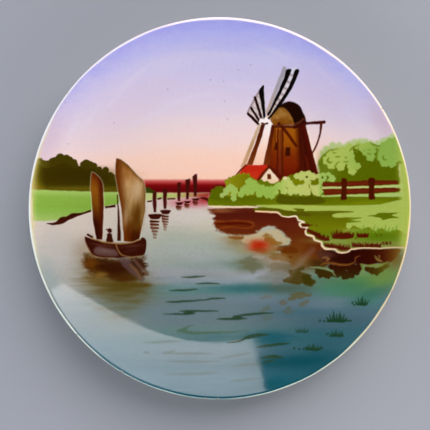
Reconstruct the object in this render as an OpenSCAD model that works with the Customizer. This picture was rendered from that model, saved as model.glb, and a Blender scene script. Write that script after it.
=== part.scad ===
// Souvenir wall plate: a glazed earthenware coupe plate, with a pierced foot ring and a loop of hanging wire.
// The plate lies face up, its standing edge on z = 0, its axis on Z and the top of its picture towards +Y.

/* [Plate] */
// Overall diameter of the plate
plate_d = 250; // [240:5:260]
// Height from the standing edge to the top of the rim
plate_h = 27; // [25:0.5:30]
// Diameter of the flat middle of the well
well_d = 112; // [104:2:120]
// Thickness of the ware under the well
well_wall = 4.6; // [4:0.1:5.5]
// Thickness of the ware at the rounded lip
lip_wall = 3.4; // [3:0.1:4]
// Slope of the rim where it meets the lip, in degrees
rim_angle = 33; // [28:1:38]
// Thickness of the fired glaze coats
glaze_t = 0.35; // [0.25:0.05:0.5]

/* [Foot ring] */
// Outside diameter of the foot ring
foot_d = 154; // [150:1:158]
// Width of the foot ring
foot_w = 5; // [4.6:0.1:5.6]
// Depth of the recess inside the foot ring
foot_h = 5.2; // [5:0.1:6]
// Radius of the foot ring's two bottom edges
foot_edge_r = 1.3; // [1:0.1:1.5]
// Radius of the fillets where the foot ring joins the plate
foot_root_r = 1.6; // [1.2:0.1:1.7]

/* [Hanging wire] */
// Diameter of the wire
wire_d = 1.2; // [1:0.1:1.4]
// Diameter of the two holes pierced in line through the foot ring
hole_d = 2.6; // [2.2:0.1:2.8]
// Distance of the holes from the middle of the plate, towards the top of the picture
hole_y = 61; // [58:1:63]
// Height of the holes above the standing edge
hole_z = 3; // [2.8:0.1:3.2]
// Half the width of the wire loop at the holes
loop_half_w = 57; // [57:1:59]
// Distance of the loop's point from the middle of the plate
loop_top_y = 103; // [101:1:106]
// Length of the twisted ends beyond the loop's point
twist_l = 10; // [8:1:12]

/* [Hidden] */
$fn = 96;

rim_steps = 24;         // straight steps along the curve of the rim
arc_steps = 10;         // steps in a lip or foot arc
lip_r = lip_wall / 2;
lip_centre = [plate_d / 2 - lip_r, plate_h - lip_r];
well_z = foot_h + well_wall;
well_r = well_d / 2;

// The face is flat to well_r, then climbs as a power curve that reaches the lip at rim_angle.
face_end = lip_centre + lip_r * [-sin(rim_angle), cos(rim_angle)];
rim_run = face_end[0] - well_r;
rim_rise = face_end[1] - well_z;
rim_power = tan(rim_angle) * rim_run / rim_rise;

foot_out = foot_d / 2;
foot_in = foot_out - foot_w;

wire_bend_r = 3;        // bends at the loop's two corners
bend_d = wire_d + 0.08; // the wire swells a little where it is bent
seat = 0.2;             // how far each straight runs into its bend
twist_d = 2 * wire_d;   // envelope of the two twisted strands
tip_gap = 0.15;         // how far each leg stops from the middle of the twist
rest_gap = 0.1;         // between the drooping twist and the surface the plate stands on

// How far along the rim a radius lies, from 0 at the well to 1 at the lip.
function along_rim(r) = max(0, (r - well_r) / rim_run);
function slope(r) = atan(tan(rim_angle) * pow(along_rim(r), rim_power - 1));
function wall(r) = well_wall - (well_wall - lip_wall) * pow(along_rim(r), 2);
// The point a depth below the face, square to it, at a radius of the face.
function below_face(r, depth) =
    [r + depth * sin(slope(r)), well_z + rim_rise * pow(along_rim(r), rim_power) - depth * cos(slope(r))];

function arc(centre, radius, from, to) =
    [for (i = [0:arc_steps]) let (a = from + (to - from) * i / arc_steps) centre + radius * [cos(a), sin(a)]];
function reversed(list) = [for (i = [len(list) - 1:-1:0]) list[i]];
function rim_radii(from) = [for (i = [0:rim_steps]) from + (face_end[0] - from) * i / rim_steps];

// Each line below runs at a depth inside the finished surface, from the middle of the face to the recess.
function face_line(depth) = concat([[0, well_z - depth]], [for (r = rim_radii(well_r)) below_face(r, depth)]);
function lip_top(depth) = concat(
    arc(lip_centre, lip_r - depth, 90 + rim_angle, 90), arc(lip_centre, lip_r - depth, 90, 0));
function lip_under(depth) = arc(lip_centre, lip_r - depth, 0, rim_angle - 90);

// The underside starts at the fillet of the foot ring. The fillet's centre is foot_root_r from both the
// underside and the ring, and root_r, the radius of the face above it, is found in a few steps.
function closer_root(r, steps) = steps == 0 ? r
    : closer_root(foot_out + foot_root_r - (wall(r) + foot_root_r) * sin(slope(r)), steps - 1);
root_r = closer_root(foot_out, 8);
root_centre = below_face(root_r, wall(root_r) + foot_root_r);
function under_line(depth) = reversed([for (r = rim_radii(root_r)) below_face(r, wall(r) - depth)]);
function foot_out_line(depth) = concat(
    arc(root_centre, foot_root_r + depth, 90 + slope(root_r), 180),
    arc([foot_out - foot_edge_r, foot_edge_r], foot_edge_r - depth, 0, -90));
function foot_in_line(depth) = concat(
    arc([foot_in + foot_edge_r, foot_edge_r], foot_edge_r - depth, -90, -180),
    arc([foot_in - foot_root_r, foot_h - foot_root_r], foot_root_r + depth, 0, 90),
    [[0, foot_h + depth]]);

// Where the coats stop: the two sides of the bare standing edge.
bare_out = [foot_out - foot_edge_r, 0];
bare_in = [foot_in + foot_edge_r, 0];

module pierced() {
    difference() {
        children();
        translate([-foot_out, hole_y, hole_z]) rotate([0, 90, 0]) cylinder(h = foot_d, d = hole_d);
    }
}

// The fired clay: everything inside the coats, with its standing edge ground bare.
module earthenware_body() {
    color("linen") pierced() rotate_extrude() polygon(concat(
        face_line(glaze_t), lip_top(glaze_t), lip_under(glaze_t), under_line(glaze_t), foot_out_line(glaze_t),
        [bare_out, bare_in], foot_in_line(glaze_t)));
}

// The coat over the painted face, from the middle to the outermost line of the lip.
module face_glaze() {
    color("lightsteelblue") rotate_extrude() polygon(concat(
        face_line(0), lip_top(0), reversed(lip_top(glaze_t)), reversed(face_line(glaze_t))));
}

// The coat over the underside, from the lip to the outer side of the standing edge.
module back_glaze() {
    color("ivory") pierced() rotate_extrude() polygon(concat(
        lip_under(0), under_line(0), foot_out_line(0), reversed(foot_out_line(glaze_t)),
        reversed(under_line(glaze_t)), reversed(lip_under(glaze_t))));
}

// The coat inside the foot ring.
module foot_recess_glaze() {
    color("ivory") pierced() rotate_extrude() polygon(concat(
        foot_in_line(0), reversed(foot_in_line(glaze_t))));
}

// A straight length of wire between two points of a plane, and a rounded bend of it about a centre.
module rod(a, b) {
    run = b - a;
    translate([a[0], a[1], 0]) rotate([0, 0, atan2(run[1], run[0])]) rotate([0, 90, 0])
        cylinder(h = norm(run), d = wire_d);
}
module bend(centre, from, sweep) {
    translate([centre[0], centre[1], 0]) rotate([0, 0, from])
        rotate_extrude(angle = sweep) translate([wire_bend_r, 0]) circle(d = bend_d);
}

// One closed loop: straight through both holes, bent back outside the foot ring, its ends twisted together.
// It hangs from the holes with its twist just clear of the surface the plate stands on.
module hanging_wire() {
    tip = [wire_d / 2 + tip_gap, loop_top_y];
    corner = [loop_half_w, hole_y];
    leg = tip - corner;
    lean = atan2(leg[1], leg[0]);           // direction of the right leg
    cut = wire_bend_r * tan(lean / 2);      // length the bend takes off each straight
    bend_start = corner - [cut, 0];
    along = [cos(lean), sin(lean)];
    bend_end = corner + cut * along;
    droop = asin((hole_z - twist_d / 2 - rest_gap) / (loop_top_y + twist_l - hole_y));
    color("goldenrod")
    translate([0, hole_y, hole_z]) rotate([-droop, 0, 0]) translate([0, -hole_y, 0]) union() {
        rod([-bend_start[0] - seat, hole_y], bend_start + [seat, 0]);
        for (side = [0, 1]) mirror([side, 0, 0]) {
            bend(bend_start + [0, wire_bend_r], -90, lean);
            rod(bend_end - seat * along, tip);
        }
        translate([0, loop_top_y - wire_d / 2, 0]) rotate([-90, 0, 0]) cylinder(h = twist_l, d = twist_d);
    }
}

earthenware_body();
face_glaze();
back_glaze();
foot_recess_glaze();
hanging_wire();
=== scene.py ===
import math

import bmesh
import bpy
import numpy as np
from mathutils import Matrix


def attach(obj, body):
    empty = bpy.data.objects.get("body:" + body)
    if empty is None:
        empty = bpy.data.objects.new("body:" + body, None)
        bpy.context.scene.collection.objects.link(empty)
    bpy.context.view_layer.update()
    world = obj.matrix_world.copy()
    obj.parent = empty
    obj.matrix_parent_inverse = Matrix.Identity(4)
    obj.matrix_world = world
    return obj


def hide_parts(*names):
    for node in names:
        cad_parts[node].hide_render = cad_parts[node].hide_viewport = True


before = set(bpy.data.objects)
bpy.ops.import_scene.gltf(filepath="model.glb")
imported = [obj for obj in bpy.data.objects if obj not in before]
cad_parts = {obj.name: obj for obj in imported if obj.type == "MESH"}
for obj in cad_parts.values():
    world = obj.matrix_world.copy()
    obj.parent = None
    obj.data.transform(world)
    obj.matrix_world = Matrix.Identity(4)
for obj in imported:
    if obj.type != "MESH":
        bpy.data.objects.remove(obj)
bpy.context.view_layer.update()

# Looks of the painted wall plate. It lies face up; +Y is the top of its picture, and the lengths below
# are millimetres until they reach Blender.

MM = 0.001

# ---------------------------------------------------------------- the picture, in millimetres across the rim

PICTURE_HALF = 126.0      # half the painted square's side
PITCH = 0.25              # between the picture's samples
DARK_BROWN = (56, 14, 3)
RIPPLE = (38, 62, 40)


def smooth(points, closed=True, steps=5):
    """A Catmull-Rom curve through given points. A point given twice makes a corner."""
    points = [np.array(p, float) for p in points]
    last = len(points) if closed else len(points) - 1
    curve = []
    for i in range(last):
        p1, p2 = points[i], points[(i + 1) % len(points)]
        p0 = points[i - 1] if closed or i > 0 else p1
        p3 = points[(i + 2) % len(points)] if closed or i + 2 < len(points) else p2
        if (p1 == p2).all():
            continue
        for t in np.arange(steps) / steps:
            curve.append(0.5 * (2 * p1 + (p2 - p0) * t + (2 * p0 - 5 * p1 + 4 * p2 - p3) * t ** 2
                                + (3 * p1 - p0 - 3 * p2 + p3) * t ** 3))
    curve.append(curve[0] if closed else points[-1])
    return curve


def chain_distance(chain, x, y):
    """Each sample's distance to a chain of points, and how far along it, 0 to 1, the nearest place is."""
    best = np.full(x.shape, 1e9)
    along = np.zeros(x.shape)
    for i in range(len(chain) - 1):
        step = chain[i + 1] - chain[i]
        t = ((x - chain[i][0]) * step[0] + (y - chain[i][1]) * step[1]) / (step @ step + 1e-9)
        t = np.clip(t, 0, 1)
        distance = np.hypot(x - chain[i][0] - t * step[0], y - chain[i][1] - t * step[1])
        closer = distance < best
        best[closer] = distance[closer]
        along[closer] = (i + t[closer]) / (len(chain) - 1)
    return best, along


def inside(chain, x, y):
    """Which samples a closed chain goes round."""
    odd = np.zeros(x.shape, bool)
    for a, b in zip(chain[:-1], chain[1:]):
        if a[1] != b[1]:
            crosses = ((a[1] > y) != (b[1] > y)) & (x < (b[0] - a[0]) * (y - a[1]) / (b[1] - a[1]) + a[0])
            odd ^= crosses
    return odd


def cloud(shape, cell, seed):
    """Smooth noise from 0 to 1 over an array; cell is the size of its lumps in samples, down and across."""
    rng = np.random.default_rng(seed)
    size = [int(shape[k] / cell[k]) + 3 for k in (0, 1)]
    grid = rng.random(size)
    for axis in (0, 1):
        place = np.arange(shape[axis]) / cell[axis]
        low = place.astype(int)
        t = place - low
        t = t * t * (3 - 2 * t)
        t = t[:, None] if axis == 0 else t[None, :]
        grid = np.take(grid, low, axis) * (1 - t) + np.take(grid, low + 1, axis) * t
    return grid


def blend(stops, t):
    """Colours along a list of (place, colour) stops."""
    places = [s[0] for s in stops]
    return np.stack([np.interp(t, places, [s[1][k] for s in stops]) for k in range(3)], axis=-1)


def upward(stops):
    """A colour for each place, blended between stops by its height in the picture."""
    return lambda x, y: blend(stops, y)


def across(stops):
    """A colour for each place, blended between stops by its distance to the right."""
    return lambda x, y: blend(stops, x)


class Picture:
    """The painting: the colour of each sample, 0 to 255, and how thickly the paint lies there, 0 to 1."""

    def __init__(self):
        line = np.arange(-PICTURE_HALF, PICTURE_HALF + PITCH / 2, PITCH)
        self.x, self.y = np.meshgrid(line, line)
        shape = self.x.shape
        self.colour = np.zeros(shape + (3,))
        self.thick = np.zeros(shape)
        self.drift_x = (cloud(shape, (11, 11), 11) - 0.5) * 0.35
        self.drift_y = (cloud(shape, (11, 11), 12) - 0.5) * 0.35
        self.mottle = cloud(shape, (14, 22), 13)
        self.streaks = cloud(shape, (7, 70), 14) * 0.6 + cloud(shape, (16, 150), 15) * 0.4
        self.fringe = cloud(shape, (4, 40), 16) * 0.6 + cloud(shape, (9, 26), 17) * 0.4 - 0.5
        self.rags = cloud(shape, (5, 12), 18) * 0.5 + cloud(shape, (3, 5), 19) * 0.5 - 0.5

    def window(self, points, margin, fray=0.0):
        """The rows and columns round some points, and the samples' places there, shaken as a hand shakes.
        fray is how many millimetres the edges are drawn out sideways, as reflections in water are."""
        points = np.array(points)
        margin = margin + fray / 2
        low = ((points.min(0) - margin + PICTURE_HALF) / PITCH).astype(int).clip(0, len(self.x) - 2)
        high = ((points.max(0) + margin + PICTURE_HALF) / PITCH).astype(int).clip(1, len(self.x) - 1) + 1
        part = (slice(low[1], high[1]), slice(low[0], high[0]))
        x = self.x[part] + self.drift_x[part] + fray * self.fringe[part]
        return part, x, self.y[part] + self.drift_y[part]

    def lay(self, part, cover, colour, body):
        """Lays paint over one window. cover is its opacity, and body how much its thickness adds."""
        if callable(colour):
            colour = colour(self.x[part], self.y[part])
        cover = cover[..., None]
        self.colour[part] = self.colour[part] * (1 - cover) + np.asarray(colour, float) * cover
        self.thick[part] = np.maximum(self.thick[part], body * cover[..., 0])

    def fill(self, points, colour, soft=0.5, opacity=1.0, body=0.6, corners=False, fray=0.0, ragged=0.0):
        """A filled shape. soft is the width of its edge; ragged is how far the edge breaks up, in and out."""
        chain = [np.array(p, float) for p in list(points) + [points[0]]] if corners else smooth(points)
        part, x, y = self.window(chain, soft + 1, fray)
        distance, _ = chain_distance(chain, x, y)
        distance[inside(chain, x, y)] *= -1
        distance += ragged * self.rags[part]
        self.lay(part, np.clip(0.5 - distance / soft, 0, 1) * opacity, colour, body)

    def stroke(self, points, widths, colour, soft=0.4, opacity=1.0, body=0.6, fray=0.0):
        """A brush stroke through points, whose width goes through the given widths along it."""
        chain = smooth(points, closed=False)
        part, x, y = self.window(chain, max(widths) + soft + 1, fray)
        distance, along = chain_distance(chain, x, y)
        half = np.interp(along, np.linspace(0, 1, len(widths)), widths) / 2
        self.lay(part, np.clip(0.5 - (distance - half) / soft, 0, 1) * opacity, colour, body)

    def dabs(self, spots, colour, soft=0.4, opacity=1.0, body=0.6, lobes=0):
        """Round dabs (x, y, radius) that run together, as the scalloped edges of a stencilled bush do.
        lobes is how many small bumps each dab has round it."""
        reach = max(s[2] for s in spots)
        part, x, y = self.window([s[:2] for s in spots], reach + 1)
        distance = np.full(x.shape, 1e9)
        for sx, sy, radius in spots:
            bumps = 1.0
            if lobes:
                bumps = 0.88 + 0.2 * np.abs(np.sin(lobes * np.arctan2(y - sy, x - sx) / 2 + sx))
            distance = np.minimum(distance, np.hypot(x - sx, y - sy) - radius * bumps)
        self.lay(part, np.clip(0.5 - distance / soft, 0, 1) * opacity, colour, body)

    def spray(self, x0, y0, wide, high, colour, opacity, lean=0.0, body=0.0, fray=0.0):
        """A soft patch of sprayed colour, wide and high at half strength, leaning by lean degrees."""
        reach = 2.1 * max(wide, high)
        part, x, y = self.window([(x0 - reach, y0 - reach), (x0 + reach, y0 + reach)], 0, fray)
        c, s = np.cos(np.radians(lean)), np.sin(np.radians(lean))
        u, v = (x - x0) * c + (y - y0) * s, (y - y0) * c - (x - x0) * s
        strength = np.exp(-0.69 * ((u / wide) ** 2 + (v / high) ** 2) ** 1.25)
        self.lay(part, strength * opacity, colour, body)


def paint_sky(picture):
    """Sprayed from violet at the top of the rim, through pink, to peach at the horizon."""
    everywhere = (slice(None), slice(None))
    stops = [(18, (247, 198, 170)), (25, (247, 204, 182)), (35, (246, 209, 193)), (45, (240, 212, 207)), (55,
            (232, 211, 214)), (66, (222, 206, 222)), (77, (215, 202, 227)), (95, (208, 201, 236)), (106,
            (201, 197, 240)), (115, (194, 193, 246)), (124, (180, 182, 246))]
    height = picture.y + (picture.streaks - 0.5) * 6 + 0.0022 * np.maximum(0,
            np.abs(picture.x - 8) - 20) ** 1.9
    picture.lay(everywhere, np.ones(picture.x.shape), blend(stops, height), 0.1)
    radius = np.hypot(picture.x, picture.y)
    rim = np.clip((radius - 102) / 22, 0, 1) ** 1.8 * np.clip((picture.y - 50) / 40, 0, 1)
    picture.lay(everywhere, rim * 0.66 * (0.6 + 0.6 * picture.mottle), (160, 158, 234), 0.1)
    picture.spray(-62, 62, 34, 12, (222, 198, 218), 0.35, lean=38)
    # A painted reflection: a greyer pink band along the rim at the upper left.
    picture.spray(-114, 44, 20, 9, (198, 172, 196), 0.5, lean=68)
    picture.spray(108, 56, 16, 7, (206, 176, 190), 0.6, lean=-62)
    picture.spray(-30, 96, 22, 5, (216, 206, 232), 0.5, lean=16)
    for x, y, wide, lean in [(-14, 107, 12, 8), (0, 101, 14, -4), (-58, 84, 12, 40), (-84, 60, 10, 56),
            (-66, 74, 12, 44), (34, 103, 12, -22), (70, 86, 10, -44), (-42, 62, 16, 26), (-20, 72, 18, 14),
            (84, 62, 8, -54), (-96, 52, 8, 62), (18, 80, 14, -6)]:
        picture.spray(x, y, wide, 1.5, (226, 216, 236), 0.3, lean)
    picture.spray(12, 90, 24, 5, (208, 198, 230), 0.4, lean=-4)
    picture.spray(0, 108, 36, 5, (184, 182, 238), 0.5)
    picture.spray(70, 74, 24, 12, (204, 188, 220), 0.4, lean=-46)
    picture.spray(0, 29, 46, 8, (250, 204, 182), 0.5)
    for place in [(-99, 42), (-69, 56), (-6, 84), (3, 70), (20, 93.6), (-101, 69), (12, 90.3), (5, 58.4),
            (2.6, 83), (-34, 78)]:
        picture.dabs([place + (0.35,)], (120, 108, 150), soft=0.6, opacity=0.6)


def paint_water(picture):
    """Pink-grey under the far shore, teal towards the viewer and deep teal at the lower rim."""
    left = [(-124, (40, 86, 100)), (-112, (70, 106, 118)), (-100, (66, 104, 116)), (-88, (86, 114, 124)),
            (-76, (104, 122, 128)), (-62, (118, 132, 134)), (-50, (146, 152, 150)), (-38, (165, 166, 161)),
            (-26, (188, 180, 171)), (-12, (205, 191, 179)), (8, (214, 198, 184))]
    middle = [(-124, (24, 80, 94)), (-112, (60, 100, 114)), (-103, (52, 94, 106)), (-97, (78, 106, 116)),
            (-91, (88, 114, 124)), (-86, (76, 112, 116)), (-80, (100, 126, 124)), (-73, (104, 122, 126)),
            (-66, (104, 124, 130)), (-60, (108, 124, 128)), (-54, (92, 128, 126)), (-48, (134, 146, 152)),
            (-43, (152, 154, 158)), (-36, (150, 158, 152)), (-26, (158, 164, 156)), (-17, (174, 174, 158)),
            (-9, (194, 186, 172)), (8, (216, 200, 190))]
    right = [(-124, (16, 72, 84)), (-112, (30, 82, 92)), (-102, (22, 74, 84)), (-92, (42, 84, 94)), (-82,
            (52, 90, 98)), (-72, (70, 96, 106)), (-60, (84, 108, 118)), (-52, (86, 114, 106)), (-40,
            (120, 138, 118)), (-20, (150, 156, 130)), (8, (200, 190, 170))]
    level = picture.y + (picture.streaks - 0.5) * 6 + (picture.mottle - 0.5) * 1.6
    side = np.clip((picture.x - 5) / 60, 0, 1)[..., None]
    west = np.clip((-30 - picture.x) / 50, 0, 1)[..., None]
    colour = blend(middle, level)
    colour = colour * (1 - side) + blend(right, level) * side
    colour = colour * (1 - west) + blend(left, level) * west
    cover = np.clip((10.5 - picture.y) / 1.5, 0, 1)
    picture.lay((slice(None), slice(None)), cover, colour, 0.1)
    for x, y, wide, high, lean, tint, strength in [(-30, -23, 22, 6, 0, (166, 174, 156), 0.5), (5, -37.4, 22,
            3.2, 0, (112, 134, 124), 0.7), (4, -43.4, 26, 2.2, 2, (130, 138, 136), 0.5), (16, -52.6, 26, 2.6,
            0, (44, 98, 100), 0.8), (-22, -53, 22, 3, 0, (104, 136, 132), 0.4), (-44, -56, 14, 4, -12,
            (104, 128, 124), 0.5), (20, -59, 20, 3, 2, (112, 132, 146), 0.5), (8, -47, 20, 2.2, 6,
            (136, 148, 154), 0.5), (26, -42.5, 8, 2.4, 10, (166, 168, 184), 0.7), (60, -68, 26, 2.4, 3,
            (56, 98, 108), 0.5), (34, -85, 12, 4, 0, (14, 80, 92), 0.75), (60, -83, 20, 3.4, 3, (44, 92, 102),
            0.5), (48, -100, 26, 3.4, 4, (10, 68, 76), 0.75), (34, -115, 14, 4, 8, (8, 74, 84), 0.7), (86,
            -88, 6, 16, -44, (50, 92, 102), 0.4), (92, -57, 16, 5, -20, (66, 122, 106), 0.6), (74, -56, 9, 3,
            0, (84, 126, 122), 0.6), (72, -62, 14, 4, 0, (112, 130, 138), 0.5), (-104, -32, 12, 26, 18,
            (178, 172, 166), 0.5), (-110, -46, 5, 12, 30, (134, 152, 152), 0.45), (-8, -6, 26, 5, 0,
            (214, 202, 198), 0.5), (70, -47, 12, 3, 0, (84, 118, 90), 0.7), (46, -52.4, 14, 3, 0,
            (76, 90, 74), 0.8), (-4, -10, 12, 5, 0, (196, 186, 160), 0.4)]:
        picture.spray(x, y, wide, high, tint, strength, lean, fray=8)
    picture.stroke([(-34, -24), (-14, -33), (12, -44), (30, -46)], [6, 9, 5, 1], (168, 170, 172), soft=5,
            opacity=0.28)
    picture.stroke([(62, -27), (52, -38), (44, -46)], [4, 3, 1], (150, 140, 140), soft=3, opacity=0.35)


def paint_left_bank(picture):
    """Dark trees over a meadow, with the brown line of its shore."""
    trees = [(-124, 12.3), (-124, 31), (-118, 32), (-112, 30), (-106, 31), (-100, 31), (-95, 29),
            (-92.5, 27.5), (-89, 28), (-83, 28), (-79, 25), (-74, 24.5), (-71, 21.5), (-68, 20), (-66, 16),
            (-65, 10.3), (-65, 10.3)]

    def tree_colour(x, y):
        glow = np.clip((x + 123) / 10, 0, 1) * 0.7 + np.clip((y - 11.5) / 6, 0, 1) * 0.3
        return blend([(0, (176, 150, 70)), (0.55, (104, 92, 12)), (0.85, (64, 54, 2)), (1, (58, 46, 0))],
                glow)

    picture.fill(trees, tree_colour, soft=0.6)
    picture.dabs([(-117.6, 30.6, 2.2), (-115, 29, 2.4), (-112.4, 28.7, 2.6), (-109, 30, 3), (-107.6, 31, 2.6),
            (-104.3, 32.4, 3.3), (-100.4, 32.2, 2.9), (-98.4, 31.4, 2.7), (-95.7, 29.6, 2.7),
            (-94.6, 28, 2.2), (-89, 28.6, 2.3), (-87.3, 28.4, 3.4), (-84.6, 28.4, 2.4), (-82.4, 27.6, 2.3),
            (-79, 25.4, 2), (-76, 23, 2.4), (-74.6, 24.9, 2.2), (-71.6, 21.6, 2.2), (-69.8, 20, 2.6)],
            across([(-122, (148, 138, 60)), (-116, (84, 76, 14)), (-110, (64, 54, 2))]), soft=0.5)
    picture.spray(-92, 22, 22, 4, (52, 40, 0), 0.7)
    picture.spray(-92, 13, 24, 1.3, (112, 98, 16), 0.5)

    def meadow_colour(x, y):
        return blend([(-9, (158, 182, 98)), (-4, (138, 174, 76)), (1, (128, 168, 60)), (7, (136, 172, 68)),
                (12, (166, 194, 104))], y + 0.03 * (x + 95))

    picture.fill([(-123, 12.4), (-123, 12.4), (-95, 11.3), (-66, 10.4), (-65.5, 10.4), (-66, 3.4), (-70, 2.4),
            (-76, 1.2), (-85, -1.5), (-94, -4.3), (-104, -7.2), (-112, -8.2), (-122, -8.2), (-122, -8.2)],
            meadow_colour, soft=0.7)
    picture.fill([(-113.5, -10.1), (-107.5, -9), (-104.6, -6.2), (-102.4, -5.4), (-100, -5.1), (-96.6, -3.4),
            (-90, -2.7), (-84.8, -1), (-84.6, -2.2), (-92, -4.8), (-98, -7.4), (-103, -10), (-108, -11)],
            DARK_BROWN, soft=0.5)
    picture.fill([(-75, 1.4), (-72, 1.7), (-68.2, 2.6), (-68.2, 0.9), (-72, 0.4), (-75, 0)], DARK_BROWN,
            corners=True)
    # A painted highlight: a soft pale-yellow glow along the left rim, just inside the lip.
    picture.stroke([(-119.4, 36), (-122.4, 14), (-122.8, 2), (-121.6, -12)], [1.4, 2.6, 2.6, 1.4],
            (222, 204, 142), soft=5, opacity=0.65)


def paint_far_shore(picture):
    """A crimson wood on the horizon, a strip of grass and its short brown dashes."""
    crimson = [(9, (92, 8, 8)), (12.5, (98, 4, 8)), (15, (122, 8, 10)), (17.2, (186, 70, 66)), (19.3,
            (236, 164, 150))]
    picture.fill([(-51, 19), (-51, 10.2), (6, 10.2), (6, 19)], upward(crimson), soft=1.0, corners=True)
    picture.fill([(-49.5, 10), (-49, 14.6), (-47.4, 13.2), (-46.4, 13.9), (-45, 12.7), (-42, 10.6),
            (-42, 9.8)], (50, 58, 4))
    grass = [(-50, (186, 198, 128)), (-30, (180, 188, 106)), (-20, (176, 150, 92)), (-14, (168, 108, 70)),
            (-6, (140, 60, 40))]
    picture.fill([(-51, 9.9), (-51, 4.6), (-44, 5.8), (-34, 6.3), (-20, 7.2), (-8, 7.4), (-6, 9.9)],
            across(grass), soft=0.8, corners=True)
    picture.spray(-19, 3.6, 13, 2.8, (196, 104, 114), 0.9)
    picture.spray(-9.5, 6, 5, 2.6, (160, 40, 42), 0.9)
    for a, b, width in [((-47, 4.4), (-44.6, 4.8), 1.1), ((-40.2, 6), (-38.4, 6.4), 1.3), ((-33.8, 6.1),
            (-29.4, 6.2), 1)]:
        picture.stroke([a, b], [width, width], DARK_BROWN, opacity=0.9)
    picture.stroke([(-12.2, 6.7), (-9.3, 6.2), (-7.4, 4.6), (-6.3, 2.3)], [0.9, 1.6, 1.4, 0.5], (70, 14, 6))


def paint_small_boats(picture):
    """Five boats under bare masts, each with its hull and broken reflection."""
    masts = [[(-43.9, 10.4), (-41.3, 10.4), (-41.4, 2), (-41.7, -2.6), (-43.2, -2.6), (-43.7, 2)],
            [(-37.4, 12.6), (-34.5, 12.6), (-34.7, 5), (-34.8, -0.4), (-36.6, -0.4), (-37, 5)],
            [(-27.9, 16.8), (-25.4, 17.2), (-25.6, 9), (-25.8, 4.8), (-27.4, 4.8), (-27.7, 9)],
            [(-22.6, 18.6), (-19.2, 19.6), (-20, 12), (-20.2, 6), (-21.9, 6), (-22, 12)], [(-17.8, 20.8),
            (-16.2, 22.4), (-14.8, 22.6), (-14.8, 14), (-15.2, 8), (-17, 8), (-17.2, 14)]]
    hulls = [(-46.4, -38.2, -4.0, -7.0), (-38.6, -32.4, -1.3, -3.8), (-29, -24, 3.8, 2.2),
            (-23.4, -19, 4.6, 3.2), (-18.2, -13.2, 6.4, 5.0)]
    for mast in masts:
        picture.fill(mast, (66, 14, 8), corners=True)
    for west, east, top, keel in hulls:
        inset = (east - west) * 0.22
        picture.fill([(west, top), (east, top + 0.1), (east - inset * 0.5, keel + 0.6), (east - inset, keel),
                (west + inset, keel), (west + inset * 0.5, keel + 0.7)], (58, 12, 5))
        middle, drop, half = (west + east) / 2, (top - keel), (east - west) * 0.33
        near = west < -30
        for step in range(6 if near else 4):
            y = keel - drop * (0.5 + (0.7 if near else 0.5) * step)
            picture.stroke([(middle - half, y), (middle + half * 0.85, y - 0.3)], [0.35 + 0.5 * drop,
                    0.42 * drop], (76, 22, 4), opacity=1 - step / (8 if near else 4.4))
            half *= 0.92 if step < 2 else 0.62


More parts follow.
